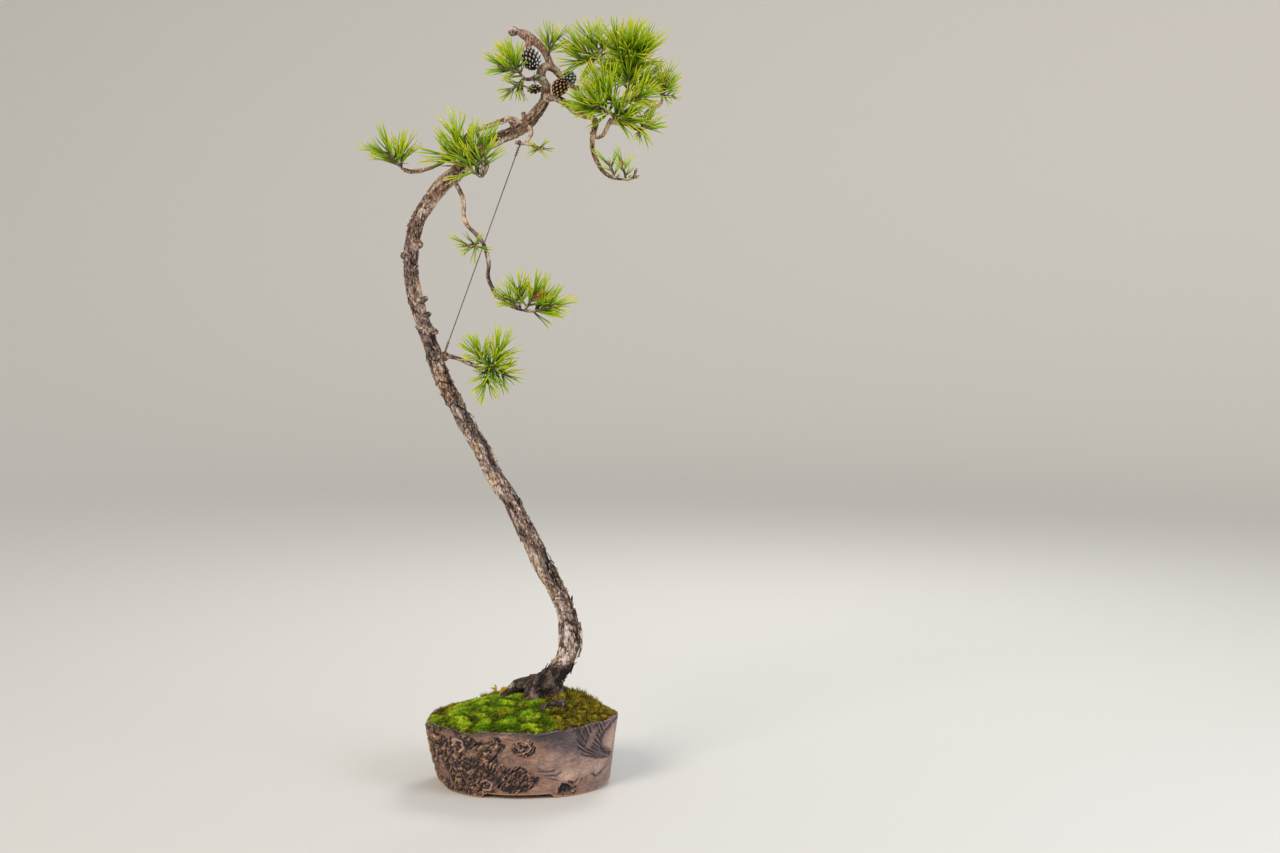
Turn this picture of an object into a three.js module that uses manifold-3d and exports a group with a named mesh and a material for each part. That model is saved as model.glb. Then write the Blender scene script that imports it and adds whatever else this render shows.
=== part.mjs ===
// Pitch pine bonsai: a tall bent trunk with a few needle sprays, in an oval hand-built clay pot.
// Millimetres, +Z up. The origin lies under the middle of the whole thing, on the surface it stands on.
// Every route below is written from the middle of the pot, and the whole is moved over at the end.
import * as THREE from 'three'
import { mergeVertices } from 'three/addons/utils/BufferGeometryUtils.js'
import Module from 'manifold-3d'

const wasm = await Module()
wasm.setup()

// Driving dimensions of the pot
const POT_HEIGHT = 72
const POT_TOP = { left: 107, right: 104.5, deep: 84 }
const POT_FOOT = { left: 89, right: 95.5, deep: 77 }
const WALL = 7.5
const FLOOR = { underside: 4.5, top: 12.5 }
const FOOT_RING_WIDTH = 13
const FOOT_GAP = { front: 68, side: 66, slope: 5 }
const DRAIN_RADIUS = 12
const CAVITY_ROUNDING = 3
const POT_SECTORS = 72
const POT_ROWS = 8
// The torn rim over or under the pot's height: where, over what angle, and by how much
const RIM_SHAPE = [
  { angle: 180, spread: 20, rise: -8 },
  { angle: -121, spread: 8, rise: -4.5 },
  { angle: -77, spread: 7, rise: -3 },
  { angle: -45, spread: 23, rise: 3 },
  { angle: -18, spread: 9, rise: 4 },
]
const RIM_RIPPLE = { rise: 0.8, waves: 9 }
// Clods pressed into the clay: thick over the left half and in four patches, smooth elsewhere
const CLOD_PATCHES = [
  { angle: -175, z: 36, wide: 55, tall: 60, high: 2 },
  { angle: -94, z: 14, wide: 11.5, tall: 12, high: 2.2 },
  { angle: -89, z: 52, wide: 6, tall: 9, high: 2 },
  { angle: -72, z: 16, wide: 6, tall: 8, high: 1.2 },
  { angle: 60, z: 30, wide: 29, tall: 30, high: 1.8 },
]
// The slab of clay that laps over the right end, with a slanting torn edge
const LAP = { angle: -30, halfWidth: 29, thick: 1.6, edgeAngle: -38, edgeHeight: 40, edgeSlope: 66 }
// Soil and moss
const SEAT_GAP = 0.35
const MOSS_CROWN = 94
const MOSS_DEPTH = 5.5
const MOSS_BASE = 50
const MOSS_BELOW_RIM = 2.5
const MOSS_HUMPS = 1.6
const MOSS_WALL_GAP = 0.65
const TALL_MOSS = { x: 62, y: 22, wide: 30, deep: 34, rise: 7 }
const MOSS_GRID = { sectors: 32, rings: [1, 0.86, 0.7, 0.54, 0.36, 0.16] }
const SOIL_GRID = { sectors: 20, rings: [1, 0.72, 0.4] }
// Wood
const TRUNK_SIDES = 10
const TRUNK_STEP = 11
const BARK_RELIEF = 0.75
const TWIG_SIDES = 5
const TWIG_STEP = 11.5
const ROOT_SIDES = 7
const ROOT_STEP = 12
const WOOD_CLEARANCE = SEAT_GAP * 1.6
// Needles
const NEEDLE_LENGTH = 34
const NEEDLE_RADIUS = 1
const NEEDLE_OPENING = { foot: 74, tip: 26, end: 13, jitter: 9 }
const NEEDLE_LIFT = 0.12
const NEEDLE_CLEARANCE = 0.45
const NEEDLE_FOOT_SHARE = 0.15
const SHOOT_RADIUS = 1.5
const SHOOT_FOOT = 0.62
const SHOOT_SIDES = 4
const SHOOT_ROW = 2.5
const SHOOT_TWIST = 0.13
// From the middle of the pot to the middle of the whole outline, seen from above
const MIDDLE = new THREE.Vector2(6.3, 0)

let randomState = 20251
function random() {
  randomState = (Math.imul(randomState, 1664525) + 1013904223) >>> 0
  return randomState / 4294967296
}

const vector = ([x, y, z]) => new THREE.Vector3(x, y, z)
const mix = THREE.MathUtils.lerp
const smooth = THREE.MathUtils.smoothstep
const degrees = THREE.MathUtils.degToRad

// Solids and skins
function solidOf(geometry) {
  const bare = geometry.clone()
  bare.deleteAttribute('normal')
  bare.deleteAttribute('uv')
  const merged = mergeVertices(bare, 1e-4)
  const vertProperties = Float32Array.from(merged.attributes.position.array)
  const triVerts = Uint32Array.from(merged.index.array)
  return new wasm.Manifold(new wasm.Mesh({ numProp: 3, vertProperties, triVerts }))
}

function geometryOf(solid) {
  const { vertProperties, triVerts } = solid.getMesh()
  const geometry = new THREE.BufferGeometry()
  geometry.setAttribute('position', new THREE.BufferAttribute(Float32Array.from(vertProperties), 3))
  geometry.setIndex(new THREE.BufferAttribute(Uint32Array.from(triVerts), 1))
  geometry.computeVertexNormals()
  return geometry
}

function join(solids) {
  let layer = solids
  while (layer.length > 1) {
    const next = []
    for (let i = 0; i < layer.length; i += 2) {
      next.push(i + 1 < layer.length ? layer[i].add(layer[i + 1]) : layer[i])
    }
    layer = next
  }
  return layer[0]
}

// A closed skin over rings of equal count, each ring running anticlockwise seen from the last ring
function loft(rings, startCentre, endCentre) {
  const sides = rings[0].length
  const points = rings.flat()
  const start = points.length
  const end = start + 1
  const faces = []
  for (let i = 0; i + 1 < rings.length; i += 1) {
    for (let j = 0; j < sides; j += 1) {
      const a = i * sides + j
      const b = i * sides + (j + 1) % sides
      faces.push(a, b, b + sides, a, b + sides, a + sides)
    }
  }
  const last = (rings.length - 1) * sides
  for (let j = 0; j < sides; j += 1) {
    const k = (j + 1) % sides
    faces.push(start, k, j, end, last + j, last + k)
  }
  const all = [...points, startCentre, endCentre]
  const geometry = new THREE.BufferGeometry().setFromPoints(all)
  geometry.setIndex(faces)
  return solidOf(geometry)
}

// Bark plates as a height over the limb's side, from the way along it and the angle round it
function barkHeight(along, angle) {
  const plates = Math.sin(4 * angle + 0.17 * along + 1.6 * Math.sin(0.06 * along))
  const cracks = Math.sin(3 * angle - 0.31 * along)
  return 0.6 * plates + 0.4 * cracks
}

// Limbs: a route is a list of [x, y, z, radius]
function limb(route, { sides = TWIG_SIDES, step = TWIG_STEP, bark = 0, grow = 0 } = {}) {
  const curve = new THREE.CatmullRomCurve3(route.map(vector), false, 'centripetal')
  const length = curve.getLength()
  const count = Math.max(2, Math.round(length / step))
  const frames = curve.computeFrenetFrames(count)
  const rings = []
  for (let i = 0; i <= count; i += 1) {
    const place = curve.getUtoTmapping(i / count) * (route.length - 1)
    const index = Math.min(Math.floor(place), route.length - 2)
    const radius = mix(route[index][3], route[index + 1][3], place - index) + grow
    const centre = curve.getPointAt(i / count)
    const ring = []
    for (let j = 0; j < sides; j += 1) {
      const angle = j / sides * 2 * Math.PI
      const reach = radius + bark * barkHeight(length * i / count, angle)
      const out = frames.normals[i].clone().multiplyScalar(Math.cos(angle) * reach)
      out.addScaledVector(frames.binormals[i], Math.sin(angle) * reach)
      ring.push(centre.clone().add(out))
    }
    rings.push(ring)
  }
  return loft(rings, curve.getPointAt(0), curve.getPointAt(1))
}

// Routes of the wood: [x, y, z, radius]
const TRUNK = [
  [15, 4, 62, 17], [16, 3, 80, 18.5], [20, 0, 98, 16.5], [33, -2, 115, 13.2], [45, 0, 129, 11],
  [52, 3, 144, 10.2], [54, 5, 159, 9.8], [51, 6, 177, 9.4], [44, 4, 199, 9.5], [30, 1, 226, 9.9],
  [17, -3, 253, 9.6], [4, -6, 280, 9.2], [-8, -9, 306, 8.9], [-25, -10, 332, 8.6],
  [-38, -9, 358, 8.5], [-53, -7, 384, 8.4], [-68, -4, 410, 8.4], [-82, 0, 436, 8.2],
  [-93, 4, 462, 8.1], [-101, 7, 488, 7.8], [-111, 9, 514, 7.7], [-117, 9, 540, 7.5],
  [-119, 7, 568, 7.4], [-116, 4, 593, 7.5], [-108, 1, 617, 7.7], [-97, -2, 635, 7.7],
  [-81, -4, 651, 7.6], [-66, -5, 664, 7.2], [-51, -5, 679, 6.8], [-36, -4, 691, 6.6],
  [-21, -2, 700, 6.5], [-6, 0, 707, 6.4], [7, 2, 715, 6.2], [18, 3, 726, 5.8],
  [26, 2, 738, 5.2], [29, 0, 749, 5],
]
const ROOTS = [
  // Left: a tapering surface root that ends in an old pale cut
  [[30, 0, 106, 10], [10, 2, 102, 9], [-8, 3, 98, 6.8], [-24, 3, 93, 4.6], [-32, 3, 88, 3.6]],
  // Back right and right: short flares that dive under the moss
  [[30, 4, 100, 9], [44, 18, 92, 5.5], [54, 30, 80, 3.5], [60, 38, 68, 2.4]],
  [[24, -2, 92, 10], [36, -14, 82, 5.5], [48, -22, 70, 3]],
  // Front: a root that comes up through the moss and ends in a blunt old break
  [[20, -4, 84, 8], [18, -20, 86, 4.6], [22, -31, 88.5, 3], [30, -33, 90.5, 3.5], [40, -32, 92, 4],
    [48, -30, 92.4, 4.2], [50.5, -29.5, 92.2, 3.8]],
]
const LIMBS = {
  crownLoop: [[28, 1, 744, 4.6], [28, -1, 756, 4.4], [24, -3, 763, 4.7], [24, -5, 770, 4.9],
    [29, -5, 775, 4.5], [37, -2, 773, 3.9], [43, 3, 766, 3.3], [50, 9, 759, 2.9], [63, 14, 754, 2.6],
    [77, 17, 756, 2.4], [88, 16, 766, 2.2], [90, 13, 775, 2.1], [87, 11, 783, 2]],
  deadTop: [[34, -4, 773, 3.6], [30, -4, 785, 3.8], [25, -5, 794, 4.1], [18, -6, 801.5, 4.6],
    [10, -7, 807.5, 5.3], [3, -8, 811.5, 4.4], [-4, -8, 813.5, 5.3], [-9.5, -8, 814.5, 4]],
  coneStalk: [[12, -7, 803, 3.4], [10, -9, 797, 2.9], [11, -11, 793, 2.2]],
  leftCrownTwig: [[24, -4, 766, 2.6], [19, -8, 764, 2.4], [13, -13, 761, 2.2], [8, -16.5, 760, 1.9]],
  rightBranch: [[28, 0, 744, 4.4], [39, -4, 742, 4], [48, -9, 737, 3.8], [59, -13, 728, 3.6],
    [69, -15, 723, 3.4], [79, -15, 720, 3.2], [82, -15, 714, 3.1], [80, -16, 706, 2.9],
    [78, -17, 696, 2.7], [79, -18, 685, 2.5], [83, -19, 674, 2.3], [89, -20, 664, 2.2],
    [98, -21, 656.5, 2.1]],
  loopTwig: [[79, -16, 704, 2.4], [83, -17, 699, 2.3], [89, -18, 701, 2.2], [93, -18, 707, 2.2],
    [96, -17, 713, 2.3], [99, -15, 718, 2.5]],
  undersideTwig: [[98, -15, 716, 2.2], [107, -17, 714, 2.1], [115, -19, 713, 2], [121, -21, 709, 1.9],
    [126, -22, 707, 1.8]],
  farRightTwig: [[115, -19, 713, 2], [124, -14, 716, 1.9], [133, -8, 719, 1.8], [136, -3, 727, 1.8],
    [144, 2, 733, 1.7], [151, 5, 736, 1.7], [153, 6, 742, 1.6]],
  leftArch: [[6, 1, 712, 3], [0, -1, 716, 2.9], [-6, -4, 719, 2.8], [-13, -8, 719, 2.7],
    [-23, -12, 715, 2.6], [-33, -14, 711, 2.5], [-45, -14, 707, 2.4], [-58, -14, 699, 2.3],
    [-69, -14, 688, 2.3], [-78, -15, 676, 2.2], [-89, -16, 669, 2.1], [-101, -17, 665, 2.1],
    [-114, -18, 663, 2.3], [-122, -19, 665, 2.1]],
  frontForkBranch: [[-45, -5, 684, 2.8], [-37, -16, 678, 2.6], [-33, -25, 669, 2.4],
    [-36, -30, 660, 2.3]],
  wireTwig: [[10, 1, 714, 2.2], [13, -4, 705, 2], [10, -6, 699, 1.8], [7, -8, 694, 1.7]],
  crossTwig: [[-4, -7, 694.5, 1.5], [3, -8, 693.5, 1.7], [8, -9, 693, 1.7], [14, -10, 691.5, 1.6],
    [20, -12, 689, 1.5]],
  hanging: [[-72, -4, 660, 3], [-68, -9, 651, 2.7], [-64, -12, 644, 2.5], [-60, -15, 634, 2.4],
    [-59, -17, 623, 2.3], [-58, -19, 613, 2.3], [-53, -21, 604, 2.2], [-46, -22, 597, 2.2],
    [-38, -23, 587, 2.2], [-34, -23, 576, 2.1], [-32, -22, 564, 2.1], [-33, -21, 552, 2],
    [-29, -20, 540, 2], [-24, -20, 531, 1.9], [-16, -21, 526, 1.9], [-9, -22, 521, 1.8],
    [-4, -23, 518, 1.8]],
  lowBranch: [[-94, 4, 463, 3], [-82, 0, 466, 2.6], [-69, -6, 464, 2.4], [-55, -12, 459, 2.2],
    [-42, -18, 454, 2], [-35, -23, 453, 1.9]],
  stubUnderTop: [[-2, 0, 706, 3.4], [-8, -3, 714, 2.4], [-10, -4, 718, 2.2]],
  stubAtLoop: [[8, 2, 716, 3.4], [5, -4, 722, 2.5], [4, -5, 727, 2.2]],
  stubLow: [[-112, 8, 525, 5], [-106, 4, 527, 4.2], [-102, 1, 528, 3.2]],
  deadSpur: [[-41, -8, 688, 2.2], [-42, -16, 696, 1.6], [-44, -20, 704, 1.2]],
}

function makeTree() {
  const trunk = limb(TRUNK, { sides: TRUNK_SIDES, step: TRUNK_STEP, bark: BARK_RELIEF })
  const roots = ROOTS.map((route) => limb(route, { sides: ROOT_SIDES, step: ROOT_STEP }))
  const branches = Object.values(LIMBS).map((route) => limb(route))
  return join([trunk, ...roots, ...branches])
}

// What the moss and soil are cut back by, so that they stay clear of the wood
function woodEnvelope() {
  const grow = BARK_RELIEF + WOOD_CLEARANCE
  const base = limb(TRUNK, { sides: TRUNK_SIDES, step: TRUNK_STEP, grow })
  const roots = ROOTS.map((route) => (
    limb(route, { sides: ROOT_SIDES, step: ROOT_STEP, grow: WOOD_CLEARANCE })
  ))
  return join([base, ...roots])
}

// Pot: a point on the plain outer wall, moved inwards by inset
function potWall(angle, z, inset = 0) {
  const rise = Math.max(0, z) / POT_HEIGHT
  const left = mix(POT_FOOT.left, POT_TOP.left, rise ** 0.7)
  const right = mix(POT_FOOT.right, POT_TOP.right, rise)
  const deep = mix(POT_FOOT.deep, POT_TOP.deep, rise)
  const turn = Math.cos(angle)
  const wide = mix(left, right, 0.5 + 0.5 * THREE.MathUtils.clamp(turn * 3, -1, 1))
  return new THREE.Vector3((wide - inset) * turn, (deep - inset) * Math.sin(angle), z)
}

// How far an angle lies from another one given in degrees, the short way round
function turnFrom(angle, other) {
  const turn = angle - degrees(other)
  return Math.atan2(Math.sin(turn), Math.cos(turn))
}

// The torn rim: lowest at the left end, dipped twice at the front, with a lip at the right
function rimHeight(angle) {
  let height = POT_HEIGHT + 1 + RIM_RIPPLE.rise * Math.sin(RIM_RIPPLE.waves * angle + 1)
  for (const { angle: middle, spread, rise } of RIM_SHAPE) {
    height += rise * Math.exp(-((turnFrom(angle, middle) / degrees(spread)) ** 2))
  }
  return height
}

// How far the clay stands out from the plain wall: lumps inside the clod patches, and the lap
function clodHeight(angle, z) {
  const lumps = Math.sin(21 * angle + 0.21 * z) * Math.sin(0.42 * z + 5 * Math.sin(3 * angle))
    + 0.6 * Math.sin(34 * angle - 0.33 * z)
  let height = 0
  for (const patch of CLOD_PATCHES) {
    const side = turnFrom(angle, patch.angle) / degrees(patch.wide)
    const level = (z - patch.z) / patch.tall
    const away = side * side + level * level
    height = Math.max(height, patch.high * Math.exp(-away * away))
  }
  const overEdge = z - LAP.edgeHeight - turnFrom(angle, LAP.edgeAngle) * LAP.edgeSlope
  const inside = degrees(LAP.halfWidth) - Math.abs(turnFrom(angle, LAP.angle))
  const lap = LAP.thick * smooth(overEdge, 0, 7.5) * smooth(inside, 0, 0.15)
  return height * (0.35 + 0.65 * lumps) + lap
}

function middleAt(z) {
  return new THREE.Vector3(0, 0, z)
}

function ringAt(sectors, point) {
  return Array.from({ length: sectors }, (_, j) => point(j / sectors * 2 * Math.PI))
}

function makePot() {
  const rings = []
  for (let i = 0; i <= POT_ROWS; i += 1) {
    rings.push(ringAt(POT_SECTORS, (angle) => {
      const z = rimHeight(angle) * i / POT_ROWS
      const fade = smooth(i / POT_ROWS, 0, 0.15)
      return potWall(angle, z, -clodHeight(angle, z) * fade).setZ(z)
    }))
  }
  const body = loft(rings, middleAt(0), middleAt(POT_HEIGHT))
  const aboveRim = POT_HEIGHT + 30
  const cavityRings = [FLOOR.top, FLOOR.top + 30, aboveRim].map((z) => {
    const inset = WALL + (z === FLOOR.top ? CAVITY_ROUNDING : 0)
    return ringAt(POT_SECTORS / 2, (angle) => potWall(angle, z, inset))
  })
  const cavity = loft(cavityRings, middleAt(FLOOR.top), middleAt(aboveRim))
  const recessRings = [-2, FLOOR.underside].map((z) => (
    ringAt(POT_SECTORS / 2, (angle) => potWall(angle, 0, FOOT_RING_WIDTH).setZ(z))
  ))
  const recess = loft(recessRings, middleAt(-2), middleAt(FLOOR.underside))
  const drain = solidOf(new THREE.CylinderGeometry(DRAIN_RADIUS, DRAIN_RADIUS, 40, 20)
    .rotateX(Math.PI / 2))
  return body.subtract(cavity).subtract(recess).subtract(drain)
    .subtract(footGap(FOOT_GAP.front, 0)).subtract(footGap(FOOT_GAP.side, Math.PI / 2))
}

// A shallow gap with sloping ends, cut right across under the pot
function footGap(width, turn) {
  const foot = width / 2 + FOOT_GAP.slope
  const shape = new THREE.Shape()
  shape.moveTo(-foot, -1)
  shape.lineTo(foot, -1)
  shape.lineTo(width / 2, FLOOR.underside)
  shape.lineTo(-width / 2, FLOOR.underside)
  shape.closePath()
  const cut = new THREE.ExtrudeGeometry(shape, { depth: 240, bevelEnabled: false })
  cut.rotateX(Math.PI / 2).translate(0, 120, 0).rotateZ(turn)
  return solidOf(cut)
}

// A square of plastic mesh that keeps the soil from falling through the drain hole
function makeDrainMesh() {
  const side = 34
  const thick = 1.2
  const opening = 7
  const pitch = 9
  const z = FLOOR.top + SEAT_GAP + thick / 2
  let plate = solidOf(new THREE.BoxGeometry(side, side, thick).translate(0, 0, z))
  for (const x of [-pitch, 0, pitch]) {
    for (const y of [-pitch, 0, pitch]) {
      plate = plate.subtract(solidOf(new THREE.BoxGeometry(opening, opening, 9).translate(x, y, z)))
    }
  }
  return plate
}

// Height of the moss over the middle distance (0 to 1) and the angle; humps is left at 0 for soil
function mossHeight(distance, angle, humps) {
  const edge = rimHeight(angle) - MOSS_BELOW_RIM
  const rise = (1 - distance ** 2) ** 1.15
  const at = potWall(angle, POT_HEIGHT, WALL).multiplyScalar(distance)
  const { x, y, wide, deep } = TALL_MOSS
  const tall = TALL_MOSS.rise * Math.exp(-(((at.x - x) / wide) ** 2) - ((at.y - y) / deep) ** 2)
  const cushions = Math.sin(at.x * 0.31 + 1.3 * Math.sin(at.y * 0.13)) * Math.sin(at.y * 0.34 + at.x * 0.07)
  return edge + (MOSS_CROWN - edge) * rise + tall * Math.min(1, 4 * (1 - distance)) + humps * cushions
}

// A mound inside the pot wall: its flat underside at base, its top by the moss rule
function mound({ sectors, rings }, base, lift, inset, humps = 0) {
  const foot = ringAt(sectors, (angle) => potWall(angle, base, inset))
  const tops = rings.map((distance) => ringAt(sectors, (angle) => {
    const z = mossHeight(distance, angle, humps) + lift
    return potWall(angle, Math.min(z, POT_HEIGHT), inset).multiplyScalar(distance).setZ(z)
  }))
  return loft([foot, ...tops], middleAt(base), middleAt(mossHeight(0, 0, humps) + lift))
}

// The line between the bright cushion moss in front and the tall brown moss behind
const MOSS_LINE = [[-125, 14], [-96, 20], [-66, 30], [-34, 26], [-8, 6], [14, -14], [34, -26],
  [30, -48], [38, -66], [46, -110]]
function frontZone(shift) {
  const shape = new THREE.Shape()
  shape.moveTo(-125 + shift, -110)
  for (const [x, y] of [...MOSS_LINE].reverse()) shape.lineTo(x + shift, y + shift)
  shape.closePath()
  const zone = new THREE.ExtrudeGeometry(shape, { depth: 100, bevelEnabled: false })
  return solidOf(zone.translate(0, 0, 40))
}

const SPRIG_PLACE = new THREE.Vector2(-29, 13)
function sprigHole() {
  const hole = new THREE.CylinderGeometry(1.8, 1.8, 60, 8).rotateX(Math.PI / 2)
  return solidOf(hole.translate(SPRIG_PLACE.x, SPRIG_PLACE.y, 110))
}

function makeSoilAndMoss() {
  const envelope = woodEnvelope()
  const meshRoom = new THREE.BoxGeometry(36, 36, 3.4).translate(0, 0, FLOOR.top + 1)
  const soilBase = FLOOR.top + SEAT_GAP
  const soilSlope = WALL + CAVITY_ROUNDING + SEAT_GAP
  const soil = mound(SOIL_GRID, soilBase, -MOSS_DEPTH, soilSlope).subtract(envelope)
    .subtract(solidOf(meshRoom))
  const cut = mound(SOIL_GRID, soilBase, -MOSS_DEPTH + SEAT_GAP, WALL - 3)
  const moss = mound(MOSS_GRID, MOSS_BASE, 0, WALL + MOSS_WALL_GAP, MOSS_HUMPS).subtract(cut)
    .subtract(envelope).subtract(sprigHole())
  return {
    soil,
    green: moss.intersect(frontZone(0)),
    brown: moss.subtract(frontZone(SEAT_GAP)),
  }
}

// A tiny yellow seedling that has come up through the moss
function makeSprig() {
  const [x, y] = [SPRIG_PLACE.x, SPRIG_PLACE.y]
  const stem = limb([[x, y, 86, 0.9], [x, y, 92, 0.8], [x - 1, y, 97, 0.6]], { sides: 4, step: 7 })
  const leaves = [
    [[x, y, 91, 0.9], [x + 6, y - 1, 97, 1.4], [x + 12, y - 1, 101, 0.5]],
    [[x, y, 95, 0.7], [x - 5, y, 101, 1.1], [x - 10, y + 1, 103, 0.4]],
    [[x, y, 93, 0.8], [x + 2, y + 3, 99, 1.1], [x + 3, y + 6, 102, 0.4]],
  ].map((route) => limb(route, { sides: 3, step: 7 }))
  return join([stem, ...leaves])
}

// Cones: an egg-shaped skin in staggered rows, every lozenge of it drawn out into a blunt scale
const CONES = [
  { name: 'cone_upper', seat: [11, -11.6, 792.4], toward: [0.5, -0.42, -0.76], long: 27, wide: 22,
    rows: 8, sides: 9 },
  { name: 'cone_front', seat: [38, -7.3, 745.8], toward: [0.45, -0.5, 0.72], long: 20, wide: 17,
    rows: 7, sides: 8 },
  { name: 'cone_grey', seat: [48, 12.4, 761.4], toward: [0.43, 0.8, 0.4], long: 18, wide: 15,
    rows: 6, sides: 8 },
]
function makeCone({ seat, toward, long, wide, rows, sides }) {
  const points = []
  for (let i = 0; i <= rows; i += 1) {
    const t = i / rows
    const radius = wide * 0.4 * Math.sin(Math.PI * (0.07 + 0.88 * t)) ** 0.7
    for (let j = 0; j < sides; j += 1) {
      const angle = (j + i / 2) / sides * 2 * Math.PI
      points.push(new THREE.Vector3(Math.cos(angle) * radius, Math.sin(angle) * radius, long * t))
    }
  }
  const foot = points.length
  points.push(new THREE.Vector3(0, 0, 0), new THREE.Vector3(0, 0, long + 0.6))
  const at = (i, j) => i * sides + j % sides
  const faces = []
  for (let j = 0; j < sides; j += 1) {
    faces.push(foot, at(0, j + 1), at(0, j), foot + 1, at(rows, j), at(rows, j + 1))
    faces.push(at(0, j), at(0, j + 1), at(1, j))
    faces.push(at(rows - 1, j + 1), at(rows, j + 1), at(rows, j))
  }
  for (let i = 1; i < rows; i += 1) {
    for (let j = 0; j < sides; j += 1) {
      const left = at(i, j)
      const right = at(i, j + 1)
      const below = at(i - 1, j + 1)
      const above = at(i + 1, j)
      const tip = points[left].clone().add(points[right]).multiplyScalar(0.5)
      const out = new THREE.Vector3(tip.x, tip.y, 0).normalize()
      tip.addScaledVector(out, wide * 0.15).z += long * (0.07 * i / rows - 0.02)
      const peak = points.push(tip) - 1
      faces.push(below, right, peak, right, above, peak, above, left, peak, left, below, peak)
    }
  }
  const skin = new THREE.BufferGeometry().setFromPoints(points)
  skin.setIndex(faces)
  const way = vector(toward).normalize()
  skin.applyQuaternion(new THREE.Quaternion().setFromUnitVectors(new THREE.Vector3(0, 0, 1), way))
  return skin.translate(...vector(seat).addScaledVector(way, SEAT_GAP))
}

// Guy wire: from a ring round the under-twig to a ring round the low branch
const WIRE_RADIUS = 0.6
const WIRE_TOP = { at: [0.5, -7.6, 693.9], along: [1, -0.14, -0.14], hole: 2.1 }
const WIRE_FOOT = { at: [-82, 0, 466], along: [1, -0.4, 0.02], hole: 4.4 }
function wireRing({ at, along, hole }) {
  const ring = new THREE.TorusGeometry(hole + WIRE_RADIUS, WIRE_RADIUS, 4, 9)
  const turn = new THREE.Quaternion().setFromUnitVectors(
    new THREE.Vector3(0, 0, 1),
    vector(along).normalize(),
  )
  return solidOf(ring.applyQuaternion(turn).translate(...at))
}

// The point of a ring that lies nearest to another place
function ringPoint({ at, along, hole }, toward) {
  const out = vector(toward).sub(vector(at)).projectOnPlane(vector(along).normalize()).normalize()
  return vector(at).addScaledVector(out, hole + WIRE_RADIUS)
}

function makeWire() {
  const top = ringPoint(WIRE_TOP, WIRE_FOOT.at)
  const foot = ringPoint(WIRE_FOOT, WIRE_TOP.at)
  const route = [0, 0.5, 1].map((t) => [...top.clone().lerp(foot, t).toArray(), WIRE_RADIUS])
  return join([limb(route, { sides: 4, step: 90 }), wireRing(WIRE_TOP), wireRing(WIRE_FOOT)])
}

// The rubber sleeve that keeps the wire off the bark of the low branch
function makeSleeve() {
  const profile = [[3.3, -3], [4.05, -3], [4.05, 3], [3.3, 3], [3.3, -3]]
  const tube = new THREE.LatheGeometry(profile.map(([x, y]) => new THREE.Vector2(x, y)), 12)
  const turn = new THREE.Quaternion().setFromUnitVectors(
    new THREE.Vector3(0, 1, 0),
    vector(WIRE_FOOT.along).normalize(),
  )
  return solidOf(tube.applyQuaternion(turn).translate(...WIRE_FOOT.at))
}

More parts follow.
